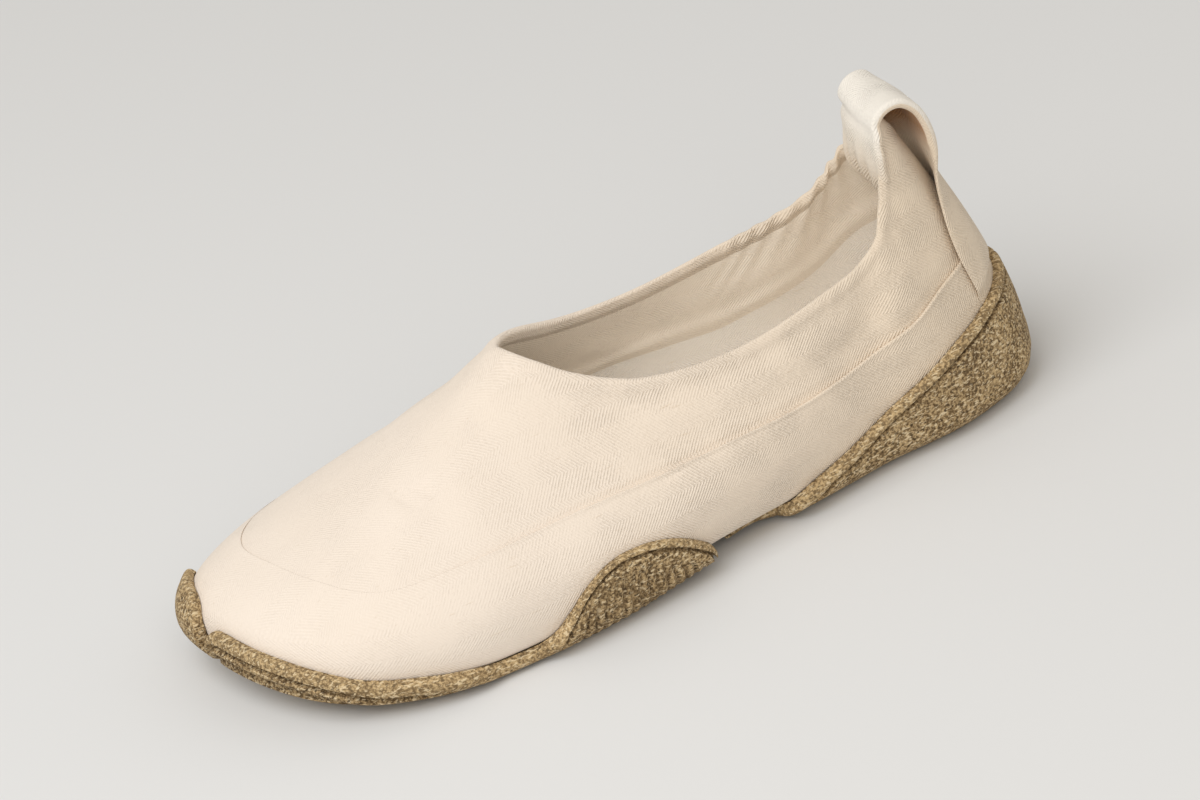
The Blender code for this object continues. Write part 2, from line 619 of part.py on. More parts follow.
INSOLE_LEVEL = WALL + 1.5 * GAP
# Columns: inset from the edge, share of the thickness
INSOLE_RINGS = ((6.2, 0.0), (4.4, 0.55), (4.2, 1.0))


def make_insole(surface, rows):
    """Thin sock on the board, cut to the inside of the upper."""
    shell = Shell()
    rings = []
    for inset, up in INSOLE_RINGS:
        points = []
        for k in range(COLUMNS):
            x = rows["feather_x"][k] - rows["out_x"][k] * inset
            y = rows["feather_y"][k] - rows["out_y"][k] * inset
            points.append((x, y, float(bottom(x, y)) + INSOLE_LEVEL + INSOLE_THICKNESS * up))
        rings.append(shell.ring(points))
    for low, high in zip(rings, rings[1:]):
        shell.band(low, high)
    shell.ladder(rings[0], lambda x, y: float(bottom(x, y)) + INSOLE_LEVEL)
    shell.ladder(rings[-1], lambda x, y: float(bottom(x, y)) + INSOLE_LEVEL + INSOLE_THICKNESS)
    return shell.build("insole")


def back_point(surface, y, share, offset):
    """Point on the heel's outer face at a side distance y and a share of the column's height."""
    columns = [k % COLUMNS for k in range(-8, 9)]
    points = []
    for k in columns:
        top = surface[2][k, -1]
        points.append(on_surface(surface, k, FILLET_RUN + (top - FILLET_RUN) * share, offset)[0])
    points = np.array(points)
    order = np.argsort(points[:, 1])
    points = points[order]
    return np.array([np.interp(y, points[:, 1], points[:, c]) for c in range(3)])


def make_loop(surface, rows):
    """Heel strip on the back of the upper, carried on over the heel's top into a finger loop."""
    middle = rows["collar_y"][0]
    across = np.linspace(-1.0, 1.0, LOOP_ACROSS + 1)
    path = [[], []]
    for side, offset in enumerate((LOOP_LIFT, LOOP_LIFT + LOOP_THICKNESS)):
        for share, half_width in STRIP:
            line = [back_point(surface, middle + s * half_width, share, offset) for s in across]
            path[side].append(np.array(line))
    y = middle + across * LOOP_HALF_WIDTH
    top_share = STRIP[-1][0]
    heel = np.array([back_point(surface, side_y, top_share, 0.0)[0] for side_y in y])
    round_heel = heel - heel.min()
    centre = back_point(surface, middle, 1.0, 0.0)
    tangent = np.gradient(np.array(LOOP_PATH)[:, :2], axis=0)
    tangent /= np.linalg.norm(tangent, axis=1)[:, None]
    for (forward, up, roundness), way in zip(LOOP_PATH, tangent):
        left = np.array([-way[1], way[0]]) * LOOP_THICKNESS / 2.0
        for side, sign in enumerate((-1.0, 1.0)):
            x = centre[0] + forward + roundness * round_heel + sign * left[0]
            z = np.full_like(x, centre[2] + up + sign * left[1])
            path[side].append(np.column_stack([x, y, z]))
    shell = Shell()
    inside = [shell.ring(p) for p in path[0]]
    outside = [shell.ring(p) for p in path[1]]
    for low, high in zip(inside, inside[1:]):
        shell.band(low, high, closed=False)
    for low, high in zip(outside, outside[1:]):
        shell.band(high, low, closed=False)
    for k in range(len(inside) - 1):
        shell.faces.append((inside[k][0], inside[k + 1][0], outside[k + 1][0], outside[k][0]))
        shell.faces.append((inside[k][-1], outside[k][-1], outside[k + 1][-1], inside[k + 1][-1]))
    shell.band(inside[0], outside[0], closed=False)
    shell.band(outside[-1], inside[-1], closed=False)
    return shell.build("pull_loop")


def settle(things):
    """Moves all pieces so that the part is centred over the origin and stands on z = 0."""
    corners = np.array([v.co[:] for thing in things for v in thing.data.vertices])
    low = corners.min(0)
    high = corners.max(0)
    move = (-(low[0] + high[0]) / 2.0, -(low[1] + high[1]) / 2.0, -low[2])
    for thing in things:
        for vertex in thing.data.vertices:
            vertex.co.x += move[0]
            vertex.co.y += move[1]
            vertex.co.z += move[2]
        thing.data.update()
    return move


for old in list(bpy.data.objects):
    bpy.data.objects.remove(old)

ROWS = section_rows()
SURFACE = dense_surface(ROWS)
upper = make_upper(SURFACE, ROWS)
outsole = make_sole(SURFACE, ROWS)
cut_sole(outsole)
lasting_board = make_board(SURFACE, ROWS)
insole = make_insole(SURFACE, ROWS)
pull_loop = make_loop(SURFACE, ROWS)
PIECES = (upper, outsole, lasting_board, insole, pull_loop)
MOVE = settle(PIECES)
for piece in PIECES:
    dress(piece)
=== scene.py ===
import math

import bpy
import numpy as np
from mathutils import Matrix, Vector


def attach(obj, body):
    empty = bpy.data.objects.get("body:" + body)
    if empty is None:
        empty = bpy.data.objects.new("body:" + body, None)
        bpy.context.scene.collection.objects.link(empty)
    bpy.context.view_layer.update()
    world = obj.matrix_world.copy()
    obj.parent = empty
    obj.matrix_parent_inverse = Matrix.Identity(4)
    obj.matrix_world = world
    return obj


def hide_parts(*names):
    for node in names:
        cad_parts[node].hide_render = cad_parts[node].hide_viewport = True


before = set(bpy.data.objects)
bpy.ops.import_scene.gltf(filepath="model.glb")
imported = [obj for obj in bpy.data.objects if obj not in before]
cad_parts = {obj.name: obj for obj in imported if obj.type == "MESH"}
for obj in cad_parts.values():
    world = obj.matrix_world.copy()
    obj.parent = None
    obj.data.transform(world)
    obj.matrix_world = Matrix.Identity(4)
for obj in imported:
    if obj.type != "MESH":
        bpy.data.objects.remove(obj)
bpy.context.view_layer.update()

# Top panel: one piece of undyed cotton canvas that makes the toe box, the instep and both quarters.
# It is drawn over the last, tucked under the lower panel all round, and turned in at the collar.
# Its shape is that of the last, so the last's sections are worked out here. Millimetres from the heel.

# Columns: feather x and y where the wall stands on the bottom, lean outwards in degrees, length of
# the wall's upright start, collar x, y and z, length and rise in degrees of the end, seam's share
SECTIONS = (
    ("heel_back", 7.5, -2.0, 10, 15, 31.5, -2.0, 91.0, 30, 62, 0.48),
    ("heel_outer_back", 14.0, 15.5, 9, 15, 38.5, 10.8, 90.4, 30, 63, 0.49),
    ("heel_outer", 35.0, 26.5, 9, 17, 46.9, 18.0, 76.8, 28, 66, 0.54),
    ("heel_outer_front", 70.0, 30.5, 14, 20, 56.5, 22.6, 65.6, 24, 64, 0.50),
    ("waist_outer", 108.0, 39.5, 22, 20, 76.0, 26.0, 60.5, 22, 62, 0.48),
    ("lobe_outer", 150.0, 48.5, 16, 22, 106.0, 27.0, 56.0, 22, 58, 0.53),
    ("ball_outer", 190.0, 53.5, 12, 24, 135.0, 22.5, 57.5, 26, 45, 0.485),
    ("little_toe_base", 222.0, 52.0, 10, 24, 152.0, 15.5, 63.5, 40, 36, 0.37),
    ("little_toe", 248.0, 42.5, 8, 22, 161.0, 9.0, 68.5, 55, 33, 0.27),
    ("toe_front", 265.5, 23.0, 6, 21, 166.0, 3.0, 71.0, 66, 32, 0.26),
    ("second_toe", 273.5, 3.5, 5, 20, 168.0, -2.0, 71.5, 72, 32, 0.25),
    ("toe_tip", 276.0, -19.0, 5, 20, 168.0, -6.0, 71.0, 74, 32, 0.23),
    ("big_toe_inner", 263.0, -36.5, 6, 20, 165.0, -11.0, 70.0, 66, 32, 0.225),
    ("big_toe_base", 232.0, -46.0, 8, 23, 157.0, -17.0, 67.0, 48, 34, 0.31),
    ("ball_inner", 203.0, -49.0, 10, 24, 143.0, -22.0, 62.0, 32, 40, 0.44),
    ("arch_inner", 168.0, -43.0, 12, 24, 119.0, -26.5, 58.5, 24, 52, 0.49),
    ("waist_inner", 128.0, -36.0, 14, 24, 90.0, -28.0, 60.0, 22, 60, 0.48),
    ("heel_inner_front", 82.0, -32.5, 12, 22, 58.0, -24.0, 67.0, 23, 65, 0.49),
    ("heel_inner", 37.0, -30.5, 9, 17, 44.0, -18.5, 81.0, 28, 66, 0.50),
    ("heel_inner_back", 14.5, -19.5, 9, 15, 35.0, -12.0, 91.0, 30, 63, 0.49),
)
SECTION_COLUMNS = ("feather_x", "feather_y", "flare", "rise", "collar_x", "collar_y", "collar_z",
                   "pull", "slope", "seam")
TOE_ROW = 11
# Underside of the sole along the foot. Columns: x, z
PROFILE = ((0, 4.0), (26, 0.0), (76, 0.0), (100, 1.2), (128, 2.2), (150, 1.0), (166, 0.0),
           (212, 0.0), (235, 1.8), (255, 5.0), (280, 11.5))
ARCH_SPAN = (80.0, 120.0, 160.0)
ARCH_RISE = 2.5
ARCH_SIDE = 34.0
SOLE_FLOOR = 4.5
GAP = 0.3
CORNER = 4.0
CORNER_RUN = CORNER * math.pi / 2.0
# The last's heel and middle line lie here in the part's frame, metres
LAST_PLACE = np.array((-0.142114, -0.002219, 0.0))


def limit(values):
    """Holds values between 0 and 1."""
    return np.clip(values, 0.0, 1.0)


def ramp(values, start, run):
    """From 0 at the start to 1 a run further on."""
    return limit((values - start) / run)


def unit(vectors):
    """Brings vectors to length 1."""
    return vectors / np.linalg.norm(vectors, axis=-1)[..., None]


def run_along(points):
    """Distances from the first point along a line of points."""
    return np.concatenate([[0.0], np.cumsum(np.linalg.norm(np.diff(points, axis=0), axis=1))])


def closed(points, up=False):
    """Repeats the first column, and the first row where asked, so that the grid closes on itself."""
    points = np.concatenate([points, points[:1]], 0)
    return np.concatenate([points, points[:, :1]], 1) if up else points


def cubic(s, step, start, end, leave, arrive):
    """Curve over a step between two values with their slopes, at shares of the step."""
    ends = start * (1.0 + 2.0 * s) * (1.0 - s) ** 2 + end * s * s * (3.0 - 2.0 * s)
    return ends + step * (leave * s * (1.0 - s) ** 2 + arrive * s * s * (s - 1.0))


def smooth_table(table, at):
    """Smooth curve through a table of two columns, without overshoot."""
    xs = np.array([row[0] for row in table], float)
    ys = np.array([row[1] for row in table], float)
    step = np.diff(xs)
    rate = np.diff(ys) / step
    slope = np.concatenate([rate[:1], np.zeros(len(xs) - 2), rate[-1:]])
    for k in range(1, len(xs) - 1):
        if rate[k - 1] * rate[k] > 0.0:
            after = 2.0 * step[k] + step[k - 1]
            before = step[k] + 2.0 * step[k - 1]
            slope[k] = (after + before) / (after / rate[k - 1] + before / rate[k])
    at = np.clip(np.asarray(at, float), xs[0], xs[-1])
    k = np.clip(np.searchsorted(xs, at, side="right") - 1, 0, len(step) - 1)
    return cubic((at - xs[k]) / step[k], step[k], ys[k], ys[k + 1], slope[k], slope[k + 1])


def closed_spline(knots, total, values, at):
    """Smooth closed curve through rows of values at the given knots."""
    ext = np.concatenate([[knots[-1] - total], knots, [total, total + knots[1]]])
    val = np.concatenate([values[-1:], values, values[:1], values[1:2]])
    rate = np.diff(val, axis=0) / np.diff(ext)[:, None]
    share = (np.diff(ext)[:-1] / (ext[2:] - ext[:-2]))[:, None]
    slope = np.zeros_like(val)
    slope[1:-1] = rate[:-1] * (1.0 - share) + rate[1:] * share
    at = np.asarray(at, float) % total
    k = np.clip(np.searchsorted(ext, at, side="right") - 1, 1, len(knots))
    step = (ext[k + 1] - ext[k])[:, None]
    return cubic((at - ext[k])[:, None] / step, step, val[k], val[k + 1], slope[k], slope[k + 1])


def underside(x, y):
    """Height of the sole's underside, with the arch lifted on the inner side."""
    lift = smooth_table(tuple(zip(ARCH_SPAN, (0.0, 1.0, 0.0))), x)
    return smooth_table(PROFILE, x) + ARCH_RISE * lift * np.clip(-y / ARCH_SIDE, 0.0, 1.2) ** 2


def bottom(x, y):
    """Height of the upper's underside, where it lies on the sole."""
    return underside(x, y) + SOLE_FLOOR + GAP


class Last:
    """The last's outer face as a fine grid: columns round the shoe, points up each column."""

    INSETS = np.linspace(-46.0, 0.0, 24)
    TURNS = np.radians(np.linspace(7.5, 90.0, 12))
    RISES = np.linspace(0.02, 1.0, 60)

    def __init__(self, columns):
        table = np.array([row[1:] for row in SECTIONS], float)
        feather = table[:, :2]
        *knots, total = run_along(closed(feather))
        toe = knots[TOE_ROW]
        half = columns // 2
        outer = np.linspace(0.0, toe, half + 1)[:-1]
        inner = np.linspace(toe, total, half + 1)[:-1]
        along = np.concatenate([outer, inner])
        values = closed_spline(knots, total, table, along)
        self.columns = columns
        self.rows = {name: values[:, k] for k, name in enumerate(SECTION_COLUMNS)}
        tangent = closed_spline(knots, total, feather, along + 0.5)
        tangent = unit(tangent - closed_spline(knots, total, feather, along - 0.5))
        self.out = np.column_stack([-tangent[:, 1], tangent[:, 0]])
        self.edge = values[:, :2]
        foot = self.edge - CORNER * self.out
        self.base = bottom(foot[:, 0], foot[:, 1])
        self.outer = along <= toe
        self.share = np.where(self.outer, along / toe, (total - along) / (total - toe))
        self.around = np.where(self.outer, self.share / 2.0, 1.0 - self.share / 2.0)
        self.lay_out()

    def lay_out(self):
        """Sets the points of bottom, corner and wall, their normals and their distances up the column."""
        rows = self.rows
        out = self.out[:, None, :]
        edge = self.edge[:, None, :]
        inset = edge - out * CORNER + self.INSETS[:, None] * out
        flat = np.concatenate([inset, bottom(inset[..., 0], inset[..., 1])[..., None]], 2)
        plan = edge - CORNER * (1.0 - np.sin(self.TURNS))[:, None] * out
        rise = self.base[:, None] + CORNER * (1.0 - np.cos(self.TURNS))
        turn = np.concatenate([plan, rise[..., None]], 2)
        start = np.column_stack([self.edge, self.base + CORNER])
        end = np.column_stack([rows["collar_x"], rows["collar_y"], rows["collar_z"]])
        flare = np.radians(rows["flare"])
        slope = np.radians(rows["slope"])
        inward = unit(end[:, :2] - self.edge)
        lean = np.column_stack([self.out * np.sin(flare)[:, None], np.cos(flare)])
        arrive = np.column_stack([inward * np.cos(slope)[:, None], np.sin(slope)])
        first = start + lean * rows["rise"][:, None]
        second = end - arrive * rows["pull"][:, None]
        s = self.RISES[:, None]
        wall = start[:, None] * (1 - s) ** 3 + 3 * first[:, None] * s * (1 - s) ** 2
        wall = wall + 3 * second[:, None] * s * s * (1 - s) + end[:, None] * s ** 3
        self.grid = np.concatenate([flat, turn, wall], 1)
        onward = np.roll(self.grid, -1, 0) - np.roll(self.grid, 1, 0)
        normal = unit(np.cross(np.gradient(self.grid, axis=1), onward))
        middle = len(self.INSETS) + 20
        self.normal = -normal if normal[0, middle, 0] > 0.0 else normal
        step = np.linalg.norm(np.diff(self.grid, axis=1), axis=2)
        self.length = np.concatenate([np.zeros((self.columns, 1)), np.cumsum(step, axis=1)], 1)
        self.length -= self.length[:, len(self.INSETS) - 1][:, None]
        self.top = self.length[:, -1]
        self.seam = CORNER_RUN + (self.top - CORNER_RUN) * rows["seam"]

    def column(self, k, at):
        """Point and normal, six numbers in a row, at each distance along one column."""
        values = np.concatenate([self.grid[k], self.normal[k]], 1)
        return np.column_stack([np.interp(at, self.length[k], values[:, c]) for c in range(6)])

    def pick(self, at):
        """Points and outward normals at distances along each column; one row of distances a column."""
        found = np.array([self.column(k, at[k]) for k in range(self.columns)])
        return found[..., :3], unit(found[..., 3:])

    def at_height(self, height):
        """Distance along each column at a height over its bottom; below nothing, in under the foot."""
        first = len(self.INSETS) - 1
        up = [np.interp(self.base[k] + height[k], self.grid[k, first:, 2], self.length[k, first:])
              for k in range(self.columns)]
        return np.where(height > 0.0, up, height)


def wrapped(name, points, **marks):
    """Adds a flat grid, lays it on points given by column and row, and welds the edges that meet.
    Marks are values by column and row, kept as attributes of the points."""
    across, up = points.shape[0] - 1, points.shape[1] - 1
    bpy.ops.mesh.primitive_grid_add(x_subdivisions=across, y_subdivisions=up, size=1.0)
    piece = bpy.context.object
    piece.name = name
    piece.data.name = name
    flat = np.empty(len(piece.data.vertices) * 3)
    piece.data.vertices.foreach_get("co", flat)
    flat = flat.reshape(-1, 3)
    column = np.rint((flat[:, 0] + 0.5) * across).astype(int)
    row = np.rint((flat[:, 1] + 0.5) * up).astype(int)
    place = points[column, row] / 1000.0 + LAST_PLACE
    piece.data.vertices.foreach_set("co", place.ravel())
    for mark, values in marks.items():
        layer = piece.data.attributes.new(mark, "FLOAT", "POINT")
        layer.data.foreach_set("value", values[column, row])
    weld(piece)
    return piece


def weld(piece):
    """Merges points that meet, turns the faces outwards and shades them smooth."""
    bpy.context.view_layer.objects.active = piece
    bpy.ops.object.mode_set(mode="EDIT")
    bpy.ops.mesh.select_all(action="SELECT")
    bpy.ops.mesh.remove_doubles(threshold=0.000002)
    bpy.ops.mesh.normals_make_consistent(inside=False)
    bpy.ops.object.mode_set(mode="OBJECT")
    bpy.ops.object.shade_smooth()


UPPER_COLUMNS = 520
LAST = Last(UPPER_COLUMNS)
WALL = 2.0
CANVAS = 0.5
# How far the lower panel stands proud of the top panel, by share of the way from heel to toe.
# Columns: share, step
SEAM_TABLE = ((0.0, 0.95), (0.53, 0.95), (0.66, 0.65), (0.78, 0.06), (0.93, 0.06), (0.955, 0.24),
              (1.0, 0.32))
SEAM_STEP = smooth_table(SEAM_TABLE, LAST.share)[:, None]
# The canvas dips a little above the seam: share of the step, place above it, spread
SEAM_DIP = 0.3
SEAM_DIP_PLACE = 1.5
SEAM_DIP_SPREAD = 2.0
# Hem turned in at the collar: its depth, how far it bulges out and in, place below the edge and spread
HEM = 6.0
HEM_BULGE = 0.5
HEM_ROLL = 1.0
HEM_PLACE = 2.0
HEM_SPREAD = 2.4
# How far the top panel is tucked in under the lower panel
LAP = 5.0
# Room left between two layers of one sheet
CLEAR = 0.05

# Soft folds of the canvas, each along a line on the last. Columns: name, place of the start round the
# shoe from the heel over the outer side, its share up the wall, the same for the end, depth, width
FOLDS = (
    ("throat_dip_outer", 0.440, 0.80, 0.500, 0.84, 0.7, 7.0),
    ("throat_dip_inner", 0.500, 0.84, 0.570, 0.80, 0.7, 7.0),
    ("quarter_hollow", 0.090, 0.62, 0.300, 0.60, 0.9, 6.0),
    ("quarter_ridge", 0.120, 0.80, 0.310, 0.78, -0.5, 6.0),
    ("heel_pull", 0.065, 0.90, 0.140, 0.58, 0.6, 4.0),
    ("ball_flex_outer", 0.385, 0.52, 0.455, 0.62, 0.5, 5.0),
    ("ball_flex_inner", 0.540, 0.62, 0.640, 0.50, 0.5, 5.0),
    ("arch_crease_high", 0.700, 0.72, 0.800, 0.30, 0.9, 4.5),
    ("arch_crease_low", 0.665, 0.50, 0.745, 0.22, 0.7, 4.0),
    ("inner_quarter_hollow", 0.740, 0.62, 0.900, 0.62, 0.8, 6.0),
    ("vamp_mark_front", 0.449, 0.572, 0.413, 0.534, 0.6, 1.8),
    ("vamp_mark_back", 0.421, 0.592, 0.406, 0.581, 0.5, 1.7),
)
# The folds grow from nothing at the bottom to their full depth at this height
FOLD_RISE = 8.0
# Gathers that the elastic draws up in the collar on both sides of the heel strip
GATHER_DEPTH = 1.1
GATHER_PITCH = 7.5
# How far the gathers stray and differ, and over what distances round the collar
GATHER_STRAY = 0.9
GATHER_STRAY_RUN = 5.3
GATHER_DIFFER = 0.3
GATHER_DIFFER_RUN = 9.0
GATHER_REACH = 34.0
GATHER_START = 15.0
GATHER_RISE = 6.0
GATHER_END = 78.0
GATHER_FADE = 40.0
OUTER_GATHERS = 0.2
# On the outer side the collar is drawn up into the loop. Place round the shoe, spread of it, reach down
# from the collar, and how far forward, outwards and up
DRAWN_PLACE = 0.029
DRAWN_SPREAD = 0.020
DRAWN_REACH = 26.0
DRAWN_WAY = np.array((1.0, -1.2, 11.0))


def on_last(around, share):
    """Points of the last at places round it and shares of the way up the wall."""
    columns = np.rint(np.asarray(around) * UPPER_COLUMNS).astype(int) % UPPER_COLUMNS
    at = CORNER_RUN + (LAST.top[columns] - CORNER_RUN) * np.asarray(share)
    return np.array([LAST.column(k, d)[0, :3] for k, d in zip(columns, at)])


def folds(points):
    """How far the canvas stands off the last at each point, from the table of folds."""
    lift = np.zeros(points.shape[:2])
    for _, start, low, end, high, depth, width in FOLDS:
        t = np.linspace(0.0, 1.0, 40)
        line = on_last(start + (end - start) * t, low + (high - low) * t)
        ends = np.sin(np.pi * np.clip(t, 0.02, 0.98)) ** 0.6
        near = np.zeros_like(lift)
        for point, strength in zip(line, ends):
            off = ((points - point) ** 2).sum(2)
            near = np.maximum(near, strength * np.exp(-off / width ** 2))
        lift -= depth * near
    return lift


def gathers(at):
    """The collar's gathers by distance round the collar, dying away down the heel."""
    run = run_along(closed(LAST.grid[:, -1]))
    off = np.minimum(run, run[-1] - run)[:-1]
    stray = GATHER_STRAY * np.sin(off / GATHER_STRAY_RUN)
    size = 1.0 - GATHER_DIFFER + GATHER_DIFFER * np.sin(off / GATHER_DIFFER_RUN)
    wave = size * np.sin(2.0 * np.pi * off / GATHER_PITCH + stray)
    rise = ramp(off, GATHER_START, GATHER_RISE)
    fade = ramp(off, GATHER_END, -GATHER_FADE)
    down = limit(1.0 - (LAST.top[:, None] - at) / GATHER_REACH)
    strength = GATHER_DEPTH * np.where(LAST.outer, OUTER_GATHERS, 1.0)
    return (strength * wave * rise * fade)[:, None] * down ** 1.5


def drawn(at):
    """Where the collar is drawn up into the loop, as a shift of each point."""
    near = np.exp(-((LAST.around - DRAWN_PLACE) / DRAWN_SPREAD) ** 2)
    down = limit(1.0 - (LAST.top[:, None] - at) / DRAWN_REACH)
    return (near[:, None] * down * down * (3.0 - 2.0 * down))[..., None] * DRAWN_WAY


def between(low, high, shares):
    """Rows of distances from low to high, one row a column."""
    return low[:, None] + (high - low)[:, None] * np.asarray(shares)


def laid(at, offset):
    """Points on the last at distances along the columns, with folds and gathers, out by the offset."""
    point, normal = LAST.pick(at)
    height = ramp(at, CORNER_RUN, FOLD_RISE)
    return point + normal * (offset + height * folds(point) + gathers(at))[..., None] + drawn(at)


def hem_swell(below):
    """How much of the collar's soft roll there is at a distance below the edge."""
    return np.exp(-((below - HEM_PLACE) / HEM_SPREAD) ** 2)


SKIN_ROWS = 84
BACK_ROWS = 18
LIP_TURNS = np.radians((25, 60, 90, 120, 155))
tucked = LAST.seam - LAP
top = LAST.top
skin_at = between(tucked, top, np.linspace(0.0, 1.0, SKIN_ROWS))
above_seam = skin_at - LAST.seam[:, None]
seam_dip = SEAM_DIP * SEAM_STEP * np.exp(-((above_seam - SEAM_DIP_PLACE) / SEAM_DIP_SPREAD) ** 2)
skin = laid(skin_at, -SEAM_STEP - seam_dip + HEM_BULGE * hem_swell(top[:, None] - skin_at))
outer_edge = HEM_BULGE * hem_swell(0.0) - SEAM_STEP
inner_edge = -WALL - HEM_ROLL * hem_swell(0.0)
roll = (outer_edge - inner_edge) / 2.0
lip_rise = roll * np.sin(LIP_TURNS)
lip_at = top[:, None] + lip_rise
lip_off = (outer_edge + inner_edge) / 2.0 + roll * np.cos(LIP_TURNS) + gathers(lip_at)
edge_point, edge_normal = LAST.pick(np.repeat(top[:, None], LIP_TURNS.size, 1))
up_way = unit(LAST.grid[:, -1] - LAST.grid[:, -2])
lip = edge_point + edge_normal * lip_off[..., None] + drawn(np.minimum(lip_at, top[:, None]))
lip = lip + up_way[:, None, :] * lip_rise[..., None]
hem_at = between(top, top - HEM, np.linspace(0.0, 1.0, 12))
hem = laid(hem_at, -WALL - HEM_ROLL * hem_swell(top[:, None] - hem_at))
hem_back = laid(between(top - HEM, top - 1.0, (0.0, 0.5, 1.0)), -WALL + CANVAS - CLEAR)
skin_back = laid(between(tucked, top - 1.0, np.linspace(1.0, 0.0, BACK_ROWS)), -SEAM_STEP - CANVAS + CLEAR)
sheet = np.concatenate([skin, lip, hem, hem_back, skin_back], 1)
top_panel = wrapped("top_panel", closed(sheet, up=True))

CANVAS_COLOUR = (0.875, 0.78, 0.69, 1.0)
CANVAS_SHADE = (0.745, 0.645, 0.545, 1.0)
# Painted warm shade: the cloth is made a little more tan towards the shaded heel, from and to these places
# along the shoe, metres
HEEL_SHADE_TINT = (0.945, 0.90, 0.805, 1.0)
HEEL_SHADE_SPAN = (0.06, -0.12)
# Where the weave starts to show towards the heel and where it shows in full, metres, and how much of it.
# Its bump grows there, and so does its colour contrast, which is painted shading for light grazing the
# heel's side
WEAVE_SPAN = (0.055, -0.025)
WEAVE_SHOWN = (0.5, 1.5)
TWILL_PITCH = 0.0011
TWILL_STRIPE = 0.006
# Noises of the cloth, features to the metre: yarn, clouds of tone, patches of flattened weave
YARN_SCALE = 1000.0
CLOUD_SCALE = 28.0
PATCH_SCALE = 75.0
PATCH_SPAN = (0.36, 0.64)
PATCH_LEAST = 0.4
# Slubs: thick places in the yarn, long along the shoe
SLUB_SCALE = (130.0, 1300.0, 1300.0)
SLUB_SPAN = (0.70, 0.84)
SLUB_TINT = (0.945, 0.915, 0.875, 1.0)
# How far a face has to turn up, or to the front or back, for the cloth to be laid on from there
UP_SPAN = (0.60, 0.76)
END_SPAN = (0.66, 0.80)


def node(tree, kind, *inputs, **named):
    """Adds a shader node. Names that it has as settings are set; the other names and the inputs in order
    are linked where a socket is given and set where a value is."""
    made = tree.nodes.new("ShaderNode" + kind)
    made.location = (180.0 * len(tree.nodes), 0.0)
    sockets = {}
    for name, value in named.items():
        if hasattr(made, name):
            setattr(made, name, value)
        else:
            sockets[name.replace("_", " ")] = value
    sockets.update(enumerate(inputs))
    for key, value in sockets.items():
        if isinstance(value, bpy.types.NodeSocket):
            tree.links.new(value, made.inputs[key])
        else:
            made.inputs[key].default_value = value
    return made


def flow(tree, kind, *inputs, **named):
    """Adds a node and gives its first output that is in use."""
    return next(socket for socket in node(tree, kind, *inputs, **named).outputs if socket.enabled)


def sums(tree, operation, *inputs):
    """A step of arithmetic."""
    return flow(tree, "Math", *inputs, operation=operation)


def noise(tree, spot, scale, detail, **named):
    """Noise at a spot."""
    return flow(tree, "TexNoise", Vector=spot, Scale=scale, Detail=detail, **named)


def ranged(tree, value, ends, **named):
    """A value between two ends brought to the span from 0 to 1, or to the one named."""
    return flow(tree, "MapRange", Value=value, From_Min=ends[0], From_Max=ends[1], **named)


def mixed(tree, factor, first, second, data_type="RGBA", **named):
    """Mix of two colours or values."""
    return flow(tree, "Mix", data_type=data_type, Factor=factor, A=first, B=second, **named)


def material(name, **values):
    """New material with values of its shader set: itself, its node tree and its shader."""
    made = bpy.data.materials.new(name)
    made.use_nodes = True
    shader = made.node_tree.nodes["Principled BSDF"]
    for key, value in values.items():
        shader.inputs[key.replace("_", " ")].default_value = value
    return made, made.node_tree, shader


def coat(tree, shader, colour, height, strength, distance):
    """Gives the shader its colour and its bumps."""
    tree.links.new(colour, shader.inputs["Base Color"])
    bump = flow(tree, "Bump", Strength=strength, Distance=distance, Height=height)
    tree.links.new(bump, shader.inputs["Normal"])


def twill_group():
    """Herringbone twill on two flat coordinates: height of the cloth, from 0 to 1."""
    tree = bpy.data.node_groups.new("herringbone_twill", "ShaderNodeTree")
    for name, way in (("Along", "INPUT"), ("Across", "INPUT"), ("Height", "OUTPUT")):
        tree.interface.new_socket(name, in_out=way, socket_type="NodeSocketFloat")
    start = tree.nodes.new("NodeGroupInput").outputs
    zigzag = sums(tree, "PINGPONG", start["Across"], TWILL_STRIPE)
    total = sums(tree, "ADD", start["Along"], zigzag)
    turns = sums(tree, "MULTIPLY", total, 2.0 * math.pi / TWILL_PITCH)
    height = sums(tree, "MULTIPLY_ADD", sums(tree, "SINE", turns), 0.5, 0.5)
    tree.links.new(height, tree.nodes.new("NodeGroupOutput").inputs["Height"])
    return tree


TWILL = twill_group()


